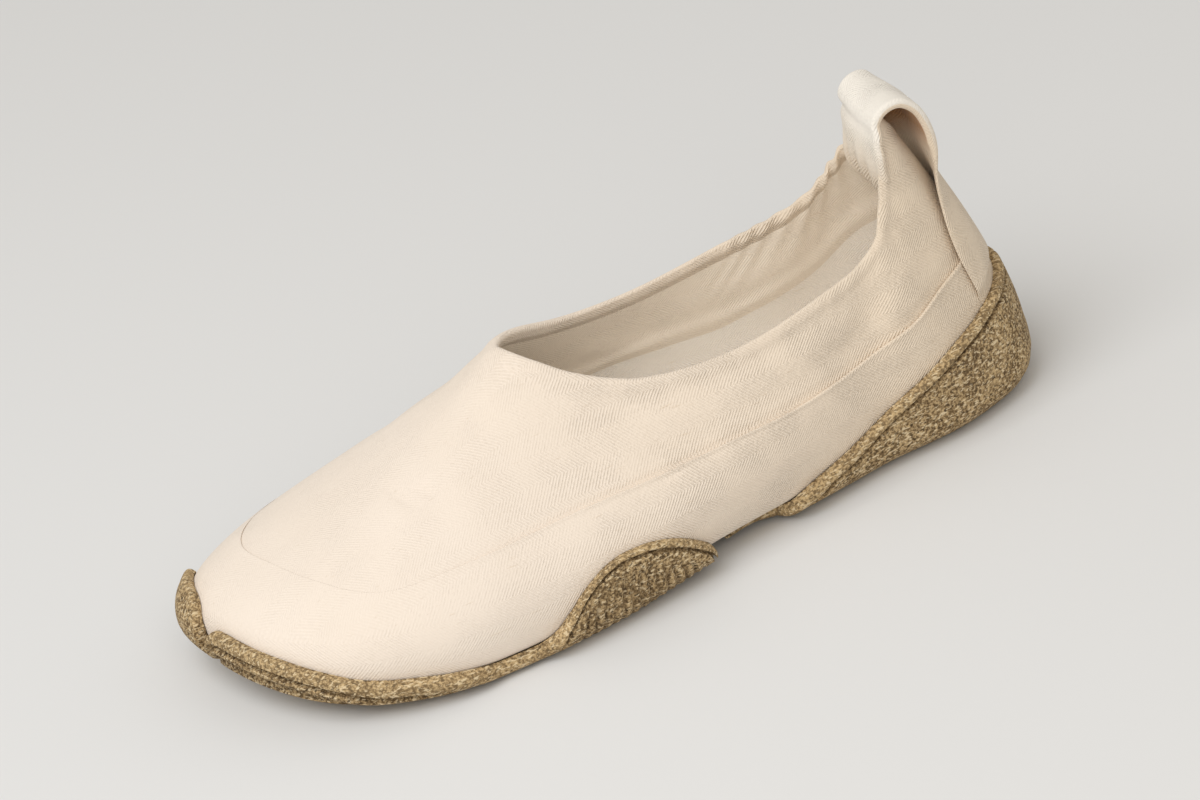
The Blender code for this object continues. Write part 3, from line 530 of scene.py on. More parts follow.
def canvas(name, light, shade, grain=1.0, tan=1.0):
    """Undyed cotton twill: herringbone by three flat projections, uneven yarn and slubs."""
    cloth, tree, shader = material(name, Roughness=0.92, Specular_IOR_Level=0.22, Sheen_Weight=0.25,
                                   Sheen_Roughness=0.6, Sheen_Tint=(1.0, 0.96, 0.90, 1.0))
    place = node(tree, "TexCoord")
    spot = place.outputs["Object"]
    axes = node(tree, "SeparateXYZ", spot).outputs
    facing = flow(tree, "VectorMath", place.outputs["Normal"], operation="ABSOLUTE")
    facing = node(tree, "SeparateXYZ", facing).outputs
    side, above, end = [flow(tree, "Group", axes[along], axes[across], node_tree=TWILL)
                        for along, across in (("X", "Z"), ("X", "Y"), ("Y", "Z"))]
    turned_up = ranged(tree, facing["Z"], UP_SPAN, interpolation_type="SMOOTHSTEP")
    turned_end = ranged(tree, facing["X"], END_SPAN, interpolation_type="SMOOTHSTEP")
    weave = mixed(tree, turned_up, side, above, data_type="FLOAT")
    weave = mixed(tree, turned_end, weave, end, data_type="FLOAT")
    yarn = noise(tree, spot, YARN_SCALE, 2.0)
    cloudy = noise(tree, spot, CLOUD_SCALE, 3.0)
    slub = noise(tree, flow(tree, "Mapping", Vector=spot, Scale=SLUB_SCALE), 1.0, 1.0)
    slub = ranged(tree, slub, SLUB_SPAN)
    worn = ranged(tree, noise(tree, spot, PATCH_SCALE, 1.0), PATCH_SPAN, To_Min=PATCH_LEAST)
    # Painted shading: the weave's colour contrast grows towards the heel, as grazing light there would show
    # it; the bump grows with it
    relief = ranged(tree, axes["X"], WEAVE_SPAN, To_Min=WEAVE_SHOWN[0], To_Max=WEAVE_SHOWN[1])
    threads = sums(tree, "MULTIPLY_ADD", yarn, 1.2, weave)
    centred = sums(tree, "SUBTRACT", threads, 1.1)
    hatch = sums(tree, "MULTIPLY", centred, sums(tree, "MULTIPLY", worn, relief))
    uneven = sums(tree, "MULTIPLY_ADD", cloudy, 0.5, 0.36)
    tone = sums(tree, "MULTIPLY_ADD", hatch, 0.62, uneven)
    colour = mixed(tree, tone, shade, light)
    colour = mixed(tree, slub, colour, SLUB_TINT, blend_type="MULTIPLY")
    # Painted warm shade: the colour is warmed towards the shaded heel by the share tan, which the linings
    # leave at nothing
    heel_shaded = ranged(tree, axes["X"], HEEL_SHADE_SPAN, To_Max=tan)
    colour = mixed(tree, heel_shaded, colour, HEEL_SHADE_TINT, blend_type="MULTIPLY")
    height = sums(tree, "MULTIPLY_ADD", yarn, 0.8, hatch)
    height = sums(tree, "MULTIPLY_ADD", slub, 0.4, height)
    coat(tree, shader, colour, height, 0.7 * grain, 0.00026)
    return cloth


CANVAS_CLOTH = canvas("undyed_canvas", CANVAS_COLOUR, CANVAS_SHADE)
top_panel.data.materials.append(CANVAS_CLOTH)
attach(top_panel, "root")
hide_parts("upper")

# Lower panel: a band of the same canvas round the whole foot, from under the sole up to the seam.
# Its upper edge is folded in and stands proud of the top panel, which makes the line along the side.
PANEL_SHARES = np.concatenate([np.linspace(0.0, 0.86, 26), np.linspace(0.88, 1.0, 14)])
PANEL_TUCK = 6.0
EDGE_ROUND = 0.4
EDGE_BULGE = 0.4
SEAT = 0.04
panel_low = np.full(UPPER_COLUMNS, -PANEL_TUCK)
panel_high = LAST.seam - EDGE_ROUND
panel_at = between(panel_low, panel_high, PANEL_SHARES)
bulge = EDGE_BULGE * SEAM_STEP
seat = np.minimum(SEAT, 0.4 * SEAM_STEP)
outside = laid(panel_at, bulge * np.exp(-(panel_high[:, None] - panel_at) ** 2))
edge_turn = np.radians((30, 60, 90, 120, 150))
edge_at = panel_high[:, None] + EDGE_ROUND * np.sin(edge_turn)
edge_off = bulge - (SEAM_STEP + bulge - seat) * ((1.0 - np.cos(edge_turn)) / 2.0)
edge = laid(edge_at, edge_off)
inside = laid(between(panel_high, panel_low, np.linspace(0.0, 1.0, 12)), -SEAM_STEP + seat)
lower_panel = wrapped("lower_panel", closed(np.concatenate([outside, edge, inside], 1), up=True))
lower_panel.data.materials.append(CANVAS_CLOTH)
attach(lower_panel, "root")

# Lining: soft cotton inside the whole upper, a tan band under the collar and a paler one below it that
# runs down to the board. The tan band's top is caught under the collar's hem, and its lower edge lies
# over the pale band along a line that drops towards the toes. Both colours are painted light, set near
# white to stand in for light coming through the thin canvas, and the tan band is darker partly as painted
# shade on the wall's inward-leaning top.
UPPER_LINING = (0.98, 0.89, 0.775, 1.0)
UPPER_LINING_SHADE = (0.94, 0.835, 0.705, 1.0)
LOWER_LINING = (0.99, 0.94, 0.87, 1.0)
LOWER_LINING_SHADE = (0.965, 0.895, 0.805, 1.0)
LINING_LAP = 0.16
HEM_SEEN = 2.5
HEM_EASE = 4.0
JOIN_EASE = 1.6
# The tan band sags above its lower edge: depth, place above the join, spread
LINING_SAG = 0.9
SAG_PLACE = 5.0
SAG_SPREAD = 3.5
TAN_OVERLAP = 1.0
PALE_OVERLAP = 4.0
PALE_TUCK = 2.0
# Height of the join by share of the way from heel to toe. Columns: share, share of the wall's height
JOIN_TABLE = ((0.0, 0.56), (0.14, 0.54), (0.22, 0.43), (0.30, 0.39), (0.36, 0.33), (0.60, 0.32),
              (1.0, 0.26))
lining_join = CORNER_RUN + (top - CORNER_RUN) * smooth_table(JOIN_TABLE, LAST.share)


def lined(name, at, offset, cloth):
    """A band of lining at distances along the columns, its face at the offset from the last."""
    rear = laid(at[:, ::-3], -WALL + CANVAS)
    piece = wrapped(name, closed(np.concatenate([laid(at, offset), rear], 1), up=True))
    piece.data.materials.append(cloth)
    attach(piece, "root")


LOWER_CLOTH = canvas("lower_lining", LOWER_LINING, LOWER_LINING_SHADE, grain=0.5, tan=0.0)
UPPER_CLOTH = canvas("upper_lining", UPPER_LINING, UPPER_LINING_SHADE, grain=0.6, tan=0.0)
upper_at = between(lining_join - TAN_OVERLAP, top - HEM_SEEN, np.linspace(0.0, 1.0, 40))
over_join = upper_at - lining_join[:, None]
from_edge = over_join + TAN_OVERLAP
hem_free = (top[:, None] - HEM_SEEN - upper_at) / HEM_EASE
clear_of = limit(np.minimum(hem_free, from_edge / JOIN_EASE))
lap = LINING_LAP * (1.0 - 2.0 * clear_of)
sag = LINING_SAG * np.exp(-((over_join - SAG_PLACE) / SAG_SPREAD) ** 2) * limit(from_edge / 3.0)
lined("upper_lining", upper_at, -WALL + lap - sag, UPPER_CLOTH)
pale_low = np.full(UPPER_COLUMNS, -PALE_TUCK)
lower_at = between(pale_low, lining_join + PALE_OVERLAP, np.linspace(0.0, 1.0, 31))
pale_off = np.full(lower_at.shape, -WALL)
lined("lower_lining", lower_at, pale_off, LOWER_CLOTH)

# Lasting board: the stiff black fibre board that closes the upper underneath and shows in the slot.
# It is stitched to the canvas's lower edge and lies on the sole. The solid keeps its shape.
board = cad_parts["lasting_board"]
BOARD_DARK = (0.008, 0.008, 0.010, 1.0)
BOARD_PALE = (0.022, 0.022, 0.025, 1.0)


def fibre_board():
    """Dull black board with a fine fibrous grain."""
    fibre, tree, shader = material("black_fibre_board", Roughness=0.7)
    spot = node(tree, "TexCoord").outputs["Object"]
    grain = noise(tree, spot, 1100.0, 3.0)
    coat(tree, shader, mixed(tree, grain, BOARD_DARK, BOARD_PALE), grain, 0.4, 0.0002)
    return fibre


board.data.materials.clear()
board.data.materials.append(fibre_board())

# Insole: a thin foam sock covered with the lining's cloth. It is laid loose on the board, and its
# edge is rounded.
INSOLE_LEVEL = WALL + 1.5 * GAP
INSOLE_THICKNESS = 3.0
INSOLE_ACROSS = 24
# Columns: inset from the feather line, share of the thickness
INSOLE_RINGS = ((6.2, 0.0), (4.6, 0.25), (4.2, 0.6), (4.5, 0.88), (5.4, 1.0))


def across_foot(ring, count, height):
    """Rows of points across the foot from each column of a ring to the one on the other side."""
    half = len(ring) // 2
    s = np.linspace(0.0, 1.0, count + 1)
    other = ring[[(len(ring) - k) % len(ring) for k in range(half + 1)]]
    plan = ring[:half + 1, None] * (1.0 - s)[:, None] + other[:, None] * s[:, None]
    level = height(plan[..., 0], plan[..., 1])
    level[:, 0] = plan[:, 0, 2]
    level[:, -1] = plan[:, -1, 2]
    return np.concatenate([plan[..., :2], level[..., None]], 2)


rings = []
for inset, share in INSOLE_RINGS:
    plan = LAST.edge - LAST.out * inset
    z = bottom(plan[:, 0], plan[:, 1]) + INSOLE_LEVEL + INSOLE_THICKNESS * share
    rings.append(np.column_stack([plan, z]))
INSOLE_TOP = INSOLE_LEVEL + INSOLE_THICKNESS
under = across_foot(rings[0], INSOLE_ACROSS, lambda x, y: bottom(x, y) + INSOLE_LEVEL)
over = across_foot(rings[-1], INSOLE_ACROSS, lambda x, y: bottom(x, y) + INSOLE_TOP)
insole_rim = wrapped("insole_sock", closed(np.stack(rings, 1)))
insole_under = wrapped("insole_under", under)
insole_over = wrapped("insole_over", over)


def joined(main, *others):
    """Joins pieces into the first one and welds them."""
    bpy.ops.object.select_all(action="DESELECT")
    for piece in (main, *others):
        piece.select_set(True)
    bpy.context.view_layer.objects.active = main
    bpy.ops.object.join()
    weld(main)
    return main


insole = joined(insole_rim, insole_under, insole_over)
insole.data.materials.append(LOWER_CLOTH)
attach(insole, "root")
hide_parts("insole")

# Cup sole: cork and plant fibre in rubber, moulded in one piece. It wraps up round the heel, in a lobe
# on the outer side and over the toe, with a bead and a groove along its edge and fine ridges below.
SOLE_COLUMNS = 720
SOLE_LAST = Last(SOLE_COLUMNS)
SOLE_WALL = 3.0
SEAT_GAP = 0.4
# Height of the rim over the bottom of the upper, by share of the way from heel to toe; below nothing
# it lies under the foot, that far in from the edge. Columns: share, height
RIM_OUTER = ((0.0, 30.0), (0.06, 30.0), (0.089, 28.6), (0.108, 26.8), (0.142, 24.4), (0.206, 16.4),
             (0.267, 8.8), (0.328, 2.3), (0.37, -3.0), (0.405, -2.0), (0.425, 1.0), (0.437, 5.0),
             (0.45, 8.5), (0.47, 12.3), (0.494, 15.3), (0.515, 17.0), (0.536, 17.6), (0.552, 16.6),
             (0.567, 13.6), (0.583, 8.0), (0.60, 3.2), (0.62, 1.2), (0.65, 1.2), (0.683, 2.8),
             (0.717, 4.0), (0.772, 5.6), (0.814, 7.6), (0.861, 8.8), (0.911, 9.0), (0.932, 8.6),
             (0.941, 6.6), (0.949, 2.6), (0.957, 7.6), (0.966, 11.2), (0.98, 12.6), (1.0, 13.0))
RIM_INNER = ((0.0, 30.0), (0.07, 29.5), (0.16, 23.0), (0.24, 11.0), (0.30, 0.0), (0.36, -10.0),
             (0.44, -21.0), (0.50, -22.0), (0.57, -15.0), (0.63, -5.0), (0.69, 2.0), (0.73, 4.0),
             (0.82, 4.4), (0.91, 4.4), (0.936, 5.0), (0.95, 8.5), (0.968, 12.0), (1.0, 13.0))
# Thickness at the lower corner. Columns: share, thickness
CORNER_TABLE = ((0.0, 4.2), (0.3, 4.2), (0.45, 4.4), (1.0, 4.4))
CORNER_SHARES = (0.0, 0.125, 0.25, 0.5, 2.0)
CORNER_SWELL = (0.0, 0.05, 0.33, 1.0)
# The bead is rounded off over this distance, down to this share of the wall
BEAD_ROUND = 1.6
BEAD_THIN = 0.35
LEAST_THICK = 0.9
# Distance of the groove below the rim, by share of the way from heel to toe. Columns: share, distance
GROOVE_TABLE = ((0.0, 3.2), (0.36, 3.0), (0.45, 2.4), (0.57, 2.4), (0.68, 3.0), (0.82, 3.5), (1.0, 3.5))
# The toe bumper is plain. Columns: share, strength of the groove
GROOVE_FADE = ((0.0, 1.0), (0.93, 1.0), (0.95, 0.0), (1.0, 0.0))
GROOVE_HALF = 0.75
GROOVE_DEEP = 0.42
# Rows of points on the sole's outside near the rim, by distance from it, and the rows below these
NEAR_RIM = (6.0, 5.0, 4.4, 4.05, 3.8, 3.55, 3.3, 3.1, 2.85, 2.6, 2.3, 2.0, 1.7, 1.4, 1.0, 0.7, 0.4, 0.18,
            0.05, 0.0)
BODY_ROWS = 28
# Ribs at the outer side of the toes. Columns: share, strength
RIB_TABLE = ((0.70, 0.0), (0.76, 0.5), (0.82, 1.0), (0.932, 1.0), (0.95, 0.0))
RIB_PLACES = (6.6, 9.5)
RIB_HALF = 0.85
RIB_DEEP = 0.48
# Ridges on the side of the lobe. Columns: share, strength
LOBE_TABLE = ((0.40, 0.0), (0.425, 1.0), (0.59, 1.0), (0.63, 0.0))
# They fan out upwards from this share, and start and run this far below the rim and up the wall
LOBE_MIDDLE = 0.51
LOBE_FAN = 6.0
LOBE_BELOW_RIM = (6.2, 1.2)
LOBE_UP = (1.0, 2.0)
RIDGE_PITCH = 3.1
RIDGE_DEEP = 0.8
# The tread fades out up the wall and towards the rim: start and run
TREAD_UP = (1.5, -3.0)
TREAD_BELOW_RIM = (6.0, 1.5)
# The floor under the foot starts this far in from the edge
FLOOR_INSET = 11.0
FLOOR_ACROSS = 124


def dip(off, half):
    """Rounded groove: 1 at its middle, nothing past its half width."""
    return limit(1.0 - (np.abs(off) / half) ** 2)


def ridged(phase):
    """Round cords side by side with narrow grooves between: 0 on a cord, 1 in a groove."""
    return (0.5 + 0.5 * np.cos(2.0 * np.pi * phase)) ** 1.6


def to_line(x, y, line):
    """Distance in plan from points to a line of straight runs."""
    best = np.full(np.shape(x), 1e9)
    for (ax, ay), (bx, by) in zip(line, line[1:]):
        run = np.array((bx - ax, by - ay), float)
        t = limit(((x - ax) * run[0] + (y - ay) * run[1]) / (run @ run))
        best = np.minimum(best, np.hypot(x - ax - t * run[0], y - ay - t * run[1]))
    return best


# Slot with its head near the toes, plan points. Columns: x, y
SLOT = ((116, 64), (131, 64), (132.5, 46), (134.5, 41), (141, 37.4), (155, 32.5), (178, 27.1), (195, 21.6),
        (204, 18.6), (209, 18.9), (214.5, 21.6), (218.5, 18.1), (224.5, 9.5), (229.5, 2.4),
        (229.0, -1.5), (224.0, -4.2), (219.5, -2.0), (213, 6.0), (206, 12.0), (195, 15.6),
        (177, 20.6), (155, 26.7), (138, 30.7), (128, 33.0), (120, 38))
# Flex grooves. Columns: start x, start y, end x, end y
GROOVES = ((228, -6, 235.5, 0.5), (235.5, 0.5, 249, -1.8), (249, -1.8, 284, -7.5),
           (227, 15.5, 236, 11), (236, 11, 251, 7), (251, 7, 280, 1.0), (157, 1.0, 177, 10.5))
FLEX_DEEP = 1.2
FLEX_HALF = 1.1
# Middle line of the ridges under the heel, which close in a loop at the arch
HEEL_LINE = ((-40, -3), (70, -3), (110, 1), (143, -4))
HEEL_HALF = 27.0
HEEL_START = 14.0
HEEL_END = 158.0
# Plain border round the slot, with a fine line in it
SLOT_BORDER = 6.0
SLOT_LINE = 4.4
SLOT_LINE_HALF = 0.9
SLOT_LINE_DEEP = 0.9
# The slot's edge is rounded off: depth and reach
SLOT_ROUND_DEEP = 1.1
SLOT_ROUND = 1.3
# Pads of ridges, rings under the ball and stripes elsewhere. Columns: name, centre x and y, turn in
# degrees, half length, half width
RING_PAD = ("ball", 187.4, -19.7, -37.0, 37.0, 28.0)
STRIPE_PADS = (("big_toe", 236.0, -26.0, -80.0, 15.0, 9.0), ("little_toe", 232.0, 25.6, -57.0, 22.0, 11.0),
               ("outer_ball", 197.1, 37.7, -52.0, 17.0, 11.0))


def pad_place(x, y, pad):
    """Distances along and across a pad, as shares of its half length and half width."""
    _, cx, cy, turn, half_length, half_width = pad
    c, s = math.cos(math.radians(turn)), math.sin(math.radians(turn))
    along = (x - cx) * c + (y - cy) * s
    across = (y - cy) * c - (x - cx) * s
    return along / half_length, across / half_width


def tread(x, y):
    """Depth of the sole's fine ridges and grooves under the foot, in millimetres."""
    off_slot = to_line(x, y, SLOT + SLOT[:1])
    ring = np.hypot(*pad_place(x, y, RING_PAD))
    deep = ridged(ring * RING_PAD[5] / RIDGE_PITCH) * limit((1.0 - ring) * 8.0)
    for pad in STRIPE_PADS:
        along, across = pad_place(x, y, pad)
        bowed = across + 0.25 * along ** 2
        inside = limit((1.0 - np.hypot(along, across)) * 5.0)
        deep = np.maximum(deep, ridged(bowed * pad[5] / RIDGE_PITCH) * inside)
    heel = to_line(x, y, HEEL_LINE)
    inside = ramp(heel, HEEL_HALF, -2.0) * ramp(x, HEEL_END, -3.0) * ramp(x, HEEL_START, 6.0)
    deep = np.maximum(deep, ridged(heel / RIDGE_PITCH) * inside)
    deep = RIDGE_DEEP * deep * ramp(off_slot, SLOT_BORDER, 2.0)
    for row in GROOVES:
        off = to_line(x, y, (row[:2], row[2:]))
        deep = np.maximum(deep, FLEX_DEEP * dip(off, FLEX_HALF))
    deep = np.maximum(deep, SLOT_LINE_DEEP * dip(off_slot - SLOT_LINE, SLOT_LINE_HALF))
    return np.maximum(deep, SLOT_ROUND_DEEP * limit(1.0 - off_slot / SLOT_ROUND) ** 2)


share = SOLE_LAST.share
rim = np.where(SOLE_LAST.outer, smooth_table(RIM_OUTER, share), smooth_table(RIM_INNER, share))
rim_end = SOLE_LAST.at_height(rim)
floor_start = np.minimum(0.0, rim) - FLOOR_INSET
at_in = between(floor_start, rim_end, np.linspace(0.0, 1.0, 12))
point, normal = SOLE_LAST.pick(at_in)
sole_inside = point + normal * np.where(at_in < -4.0, GAP, SEAT_GAP)[..., None]
body_at = between(floor_start, rim_end - NEAR_RIM[0], np.linspace(0.0, 1.0, BODY_ROWS))[:, :-1]
at_out = np.concatenate([body_at, rim_end[:, None] - np.array(NEAR_RIM)], 1)
from_rim = rim_end[:, None] - at_out
corner = smooth_table(CORNER_TABLE, share)
wall = np.empty_like(at_out)
for k in range(SOLE_COLUMNS):
    swell = SOLE_FLOOR + np.array(CORNER_SWELL) * (corner[k] - SOLE_FLOOR)
    wall[k] = np.interp(at_out[k], CORNER_RUN * np.array(CORNER_SHARES), np.append(swell, SOLE_WALL))
bead = np.sqrt(limit(1.0 - (1.0 - limit(from_rim / BEAD_ROUND)) ** 2))
thick = wall * (BEAD_THIN + (1.0 - BEAD_THIN) * bead)
groove_place = smooth_table(GROOVE_TABLE, share)[:, None]
groove = dip(from_rim - groove_place, GROOVE_HALF) * smooth_table(GROOVE_FADE, share)[:, None]
cut_in = GROOVE_DEEP * groove
ribs = np.where(SOLE_LAST.outer, smooth_table(RIB_TABLE, share), 0.0)[:, None]
rib_dip = sum(dip(from_rim - place, RIB_HALF) for place in RIB_PLACES)
cut_in = np.maximum(cut_in, RIB_DEEP * ribs * rib_dip)
feather_run = run_along(SOLE_LAST.edge)
lobe = np.where(SOLE_LAST.outer, smooth_table(LOBE_TABLE, share), 0.0)[:, None]
lobe_face = ramp(from_rim, *LOBE_BELOW_RIM) * ramp(at_out, *LOBE_UP)
lean = LOBE_FAN * (at_out - CORNER_RUN) * (share[:, None] - LOBE_MIDDLE)
lobe_dip = ridged((feather_run[:, None] + lean) / RIDGE_PITCH) * lobe * lobe_face
point, normal = SOLE_LAST.pick(at_out)
below = ramp(at_out, *TREAD_UP) * ramp(from_rim, *TREAD_BELOW_RIM)
tread_dip = tread(point[..., 0], point[..., 1]) * below
thick = thick * (1.0 - cut_in) - RIDGE_DEEP * lobe_dip - tread_dip
sole_outside = point + normal * (GAP + np.maximum(thick, LEAST_THICK))[..., None]
sole_outside[..., 2] = np.maximum(sole_outside[..., 2], 0.0)
hollow_out = np.maximum(np.maximum(groove, ribs * rib_dip), 0.9 * lobe_dip)
hollow_out = limit(hollow_out + tread_dip / RIDGE_DEEP)
bead_out = limit((groove_place - GROOVE_HALF - from_rim) / 0.6)

sole_floor = across_foot(sole_outside[:, 0], FLOOR_ACROSS, lambda x, y: underside(x, y) + tread(x, y))
sole_seat = across_foot(sole_inside[:, 0], 8, lambda x, y: bottom(x, y) - GAP)
shell = np.concatenate([sole_outside, sole_inside[:, ::-1]], 1)
plain = np.zeros(sole_inside.shape[:2])
cup_sole = wrapped("cup_sole", closed(shell), hollow=closed(np.concatenate([hollow_out, plain], 1)),
                   bead=closed(np.concatenate([bead_out, plain], 1)))
floor_hollow = limit(tread(sole_floor[..., 0], sole_floor[..., 1]) / RIDGE_DEEP)
cup_floor = wrapped("cup_floor", sole_floor, hollow=floor_hollow, bead=np.zeros_like(floor_hollow))
cup_seat = wrapped("cup_seat", sole_seat)
joined(cup_sole, cup_floor, cup_seat)


def cutter(name, plan, low, high):
    """Upright prism from a plan outline, made by filling the outline and extruding it."""
    bpy.ops.mesh.primitive_circle_add(vertices=len(plan), radius=1.0, fill_type="NGON")
    piece = bpy.context.object
    piece.name = name
    place = np.column_stack([plan, np.full(len(plan), low)]) / 1000.0 + LAST_PLACE
    piece.data.vertices.foreach_set("co", place.ravel())
    bpy.ops.object.mode_set(mode="EDIT")
    bpy.ops.mesh.select_all(action="SELECT")
    rise = (0.0, 0.0, (high - low) / 1000.0)
    bpy.ops.mesh.extrude_region_move(TRANSFORM_OT_translate={"value": rise})
    bpy.ops.mesh.select_all(action="SELECT")
    bpy.ops.mesh.normals_make_consistent(inside=False)
    bpy.ops.object.mode_set(mode="OBJECT")
    return piece


def cut(piece, tool):
    """Takes a cutter out of a piece and removes the cutter."""
    work = piece.modifiers.new("cut", "BOOLEAN")
    work.operation = "DIFFERENCE"
    work.solver = "EXACT"
    work.object = tool
    bpy.context.view_layer.objects.active = piece
    bpy.ops.object.modifier_apply(modifier=work.name)
    bpy.data.objects.remove(tool)


slot_points = np.array(SLOT, float)
*slot_knots, slot_run = run_along(closed(slot_points))
slot_at = np.linspace(0.0, slot_run, 241)[:-1]
slot_plan = closed_spline(slot_knots, slot_run, slot_points, slot_at)
cut(cup_sole, cutter("slot_cutter", slot_plan, -20.0, 40.0))
# Notches in the rim at the toe and the heel.
# Columns: x and y on the edge, way inwards along the shoe, width, height of the floor
NOTCHES = ((278.5, -2.5, -1.0, 3.2, 14.0), (0.0, -2.0, 1.0, 2.0, 10.0))
NOTCH_REACH = 12.0
for x, y, way, width, floor_z in NOTCHES:
    corners = ((-1.0, -1.0), (1.0, -1.0), (1.0, 1.0), (-1.0, 1.0))
    plan = np.array([(x + way * NOTCH_REACH * a, y + way * width / 2.0 * b) for a, b in corners])
    cut(cup_sole, cutter("notch_cutter", plan, floor_z, 80.0))
bpy.ops.object.select_all(action="DESELECT")
cup_sole.select_set(True)
bpy.context.view_layer.objects.active = cup_sole
bpy.ops.object.shade_smooth_by_angle(angle=math.radians(50.0))

CORK_DARK = (0.125, 0.078, 0.036, 1.0)
CORK_BODY = (0.305, 0.210, 0.105, 1.0)
CORK_PALE = (0.560, 0.408, 0.220, 1.0)
CORK_SPECK = (0.78, 0.64, 0.42, 1.0)
CORK_PIT = (0.055, 0.035, 0.018, 1.0)
CORK_SHADOW = (0.36, 0.32, 0.28, 1.0)
CRUMB_SCALE = 1050.0
# Columns: place in the crumb's tones, colour
CRUMB_TONES = ((0.50, CORK_DARK), (0.60, CORK_BODY), (0.71, CORK_PALE))
# Columns: turn of the fibres, their coarseness along and across, ends of the mask, colour
FIBRES = ((0.5, 420.0, 1300.0, (0.61, 0.67), CORK_SPECK), (-0.8, 500.0, 1150.0, (0.61, 0.67), CORK_SPECK),
          (1.4, 700.0, 1100.0, (0.60, 0.68), CORK_PIT))
FIBRE_SHOWN = 0.75
# Columns: mark on the sole, how much of it shows, colour, way of mixing
SOLE_MARKS = (("bead", 0.16, CORK_PALE, "MIX"), ("hollow", 0.80, CORK_SHADOW, "MULTIPLY"))


def cork_rubber():
    """Matt brown rubber full of cork crumbs and pale fibres, darker in its grooves, paler on the bead."""
    rubber, tree, shader = material("cork_rubber", Roughness=0.88, Specular_IOR_Level=0.25)
    spot = node(tree, "TexCoord").outputs["Object"]
    crumb = noise(tree, spot, CRUMB_SCALE, 4.0, Roughness=0.62)
    shifted = sums(tree, "MULTIPLY_ADD", noise(tree, spot, 95.0, 3.0), 0.2, crumb)
    body = node(tree, "ValToRGB", shifted)
    ramp = body.color_ramp.elements
    ramp.new(CRUMB_TONES[1][0])
    for step, (at, shade) in zip(ramp, CRUMB_TONES):
        step.position = at
        step.color = shade
    colour = body.outputs["Color"]
    masks = []
    for turn, along, across, ends, shade in FIBRES:
        lay = flow(tree, "Mapping", Vector=spot, Rotation=(0.6 * turn, 0.4, turn),
                   Scale=(along, across, across))
        masks.append(ranged(tree, noise(tree, lay, 1.0, 1.0), ends, To_Max=FIBRE_SHOWN))
        colour = mixed(tree, masks[-1], colour, shade)
    for name, shown, shade, way in SOLE_MARKS:
        mark = node(tree, "Attribute", attribute_name=name).outputs["Fac"]
        colour = mixed(tree, sums(tree, "MULTIPLY", mark, shown), colour, shade, blend_type=way)
    height = sums(tree, "MULTIPLY_ADD", masks[0], 0.4, crumb)
    coat(tree, shader, colour, height, 0.55, 0.0004)
    return rubber


cup_sole.data.materials.append(cork_rubber())
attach(cup_sole, "root")
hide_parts("outsole")

# Heel strip and pull loop: a band of folded canvas sewn up the back of the heel, carried on over the
# collar into a finger loop and sewn down again inside the heel.
LOOP_HALF_WIDTH = 13.5
LOOP_THICKNESS = 1.3
LOOP_FOLDED = 1.8
EDGE_SHARE = 0.9
LOOP_LIFT = 0.5
LOOP_ACROSS = 54
# Below this share of the wall's height the strip lies thin behind the sole's rim
TUCK_START = 0.27
TUCK_SHARE = 0.345
TUCK_RUN = 0.03
TUCK_THICKNESS = 0.26
TUCK_LIFT = 0.06
# The band is folded double after this start and run along the loop
FOLDED_SPAN = (3.0, 9.0)
# The loop's own creases: fold in the inner end, dent in its top, crease across its front. Its inner side
# is drawn together, front and back, and its outer edge in front is led out over the collar. Spans are a
# start and a run by height over the collar
END_FOLD = 0.7
END_FOLD_PITCH = 6.1
END_FOLD_SPAN = (2.0, -10.0)
TOP_DENT = 1.1
TOP_DENT_SPAN = (9.0, 5.0)
FRONT_CREASE = 1.4
CREASE_HEIGHT = 6.5
CREASE_SPREAD = 1.8
BACK_DRAW = 11.0
FRONT_DRAW = 3.0
DRAW_SPREAD = 9.0
EDGE_OUT = 4.5
EDGE_OUT_TOP = (9.0, -8.0)
EDGE_OUT_FOOT = (-13.0, 5.0)
# The top of the loop is painted paler as a painted highlight, from this height over the collar up
LOOP_HIGHLIGHT_COLOUR = (0.86, 0.815, 0.745, 1.0)
HIGHLIGHT_START = -8.0
HIGHLIGHT_RUN = 16.0
# Its inner face is painted dark brown, as painted shade in the loop's hole
HOLE_SHADE_BROWN = (0.44, 0.215, 0.075, 1.0)
HOLE_SHADE_START = -8.0
HOLE_SHADE_RUN = 10.0
# The strip on the back of the heel, wider below. Columns: share of the upper's height, half width
STRIP = ((0.345, 22.3), (0.40, 21.8), (0.49, 20.9), (0.57, 19.6), (0.64, 17.6), (0.70, 14.6))
# Side path of the loop, over the heel's top and down inside to the back. Columns: forward and up from
# the middle of the collar's back, and how much of the heel's roundness the band has across
LOOP_PATH = ((-8.9, -15.4, 0.6), (-7.9, -10.6, 0.15), (-8.3, -4.5, 0.0), (-7.6, 2.4, 0.0), (-5.2, 9.8, 0.0),
             (0.0, 14.9, 0.0), (6.2, 14.6, 0.0), (9.9, 11.4, 0.0), (11.9, 4.2, 0.0), (12.9, -4.1, 0.0),
             (12.0, -10.5, 0.1), (8.8, -16.0, 0.35), (4.2, -20.4, 0.6), (-0.8, -24.4, 0.85),
             (-5.4, -28.4, 1.0))


def back_points(y, share):
    """Points and normals on the heel's back at side distances and a share of the wall's height."""
    columns = [k % UPPER_COLUMNS for k in range(-40, 41)]
    at = CORNER_RUN + (LAST.top[columns] - CORNER_RUN) * share
    found = np.array([LAST.column(k, d)[0] for k, d in zip(columns, at)])
    found = found[np.argsort(found[:, 1])]
    return np.column_stack([np.interp(y, found[:, 1], found[:, c]) for c in range(6)])


def softened(points):
    """The points between the first and the last, each moved halfway to the middle of its neighbours."""
    return (points[:-2] + 2.0 * points[1:-1] + points[2:]) / 4.0


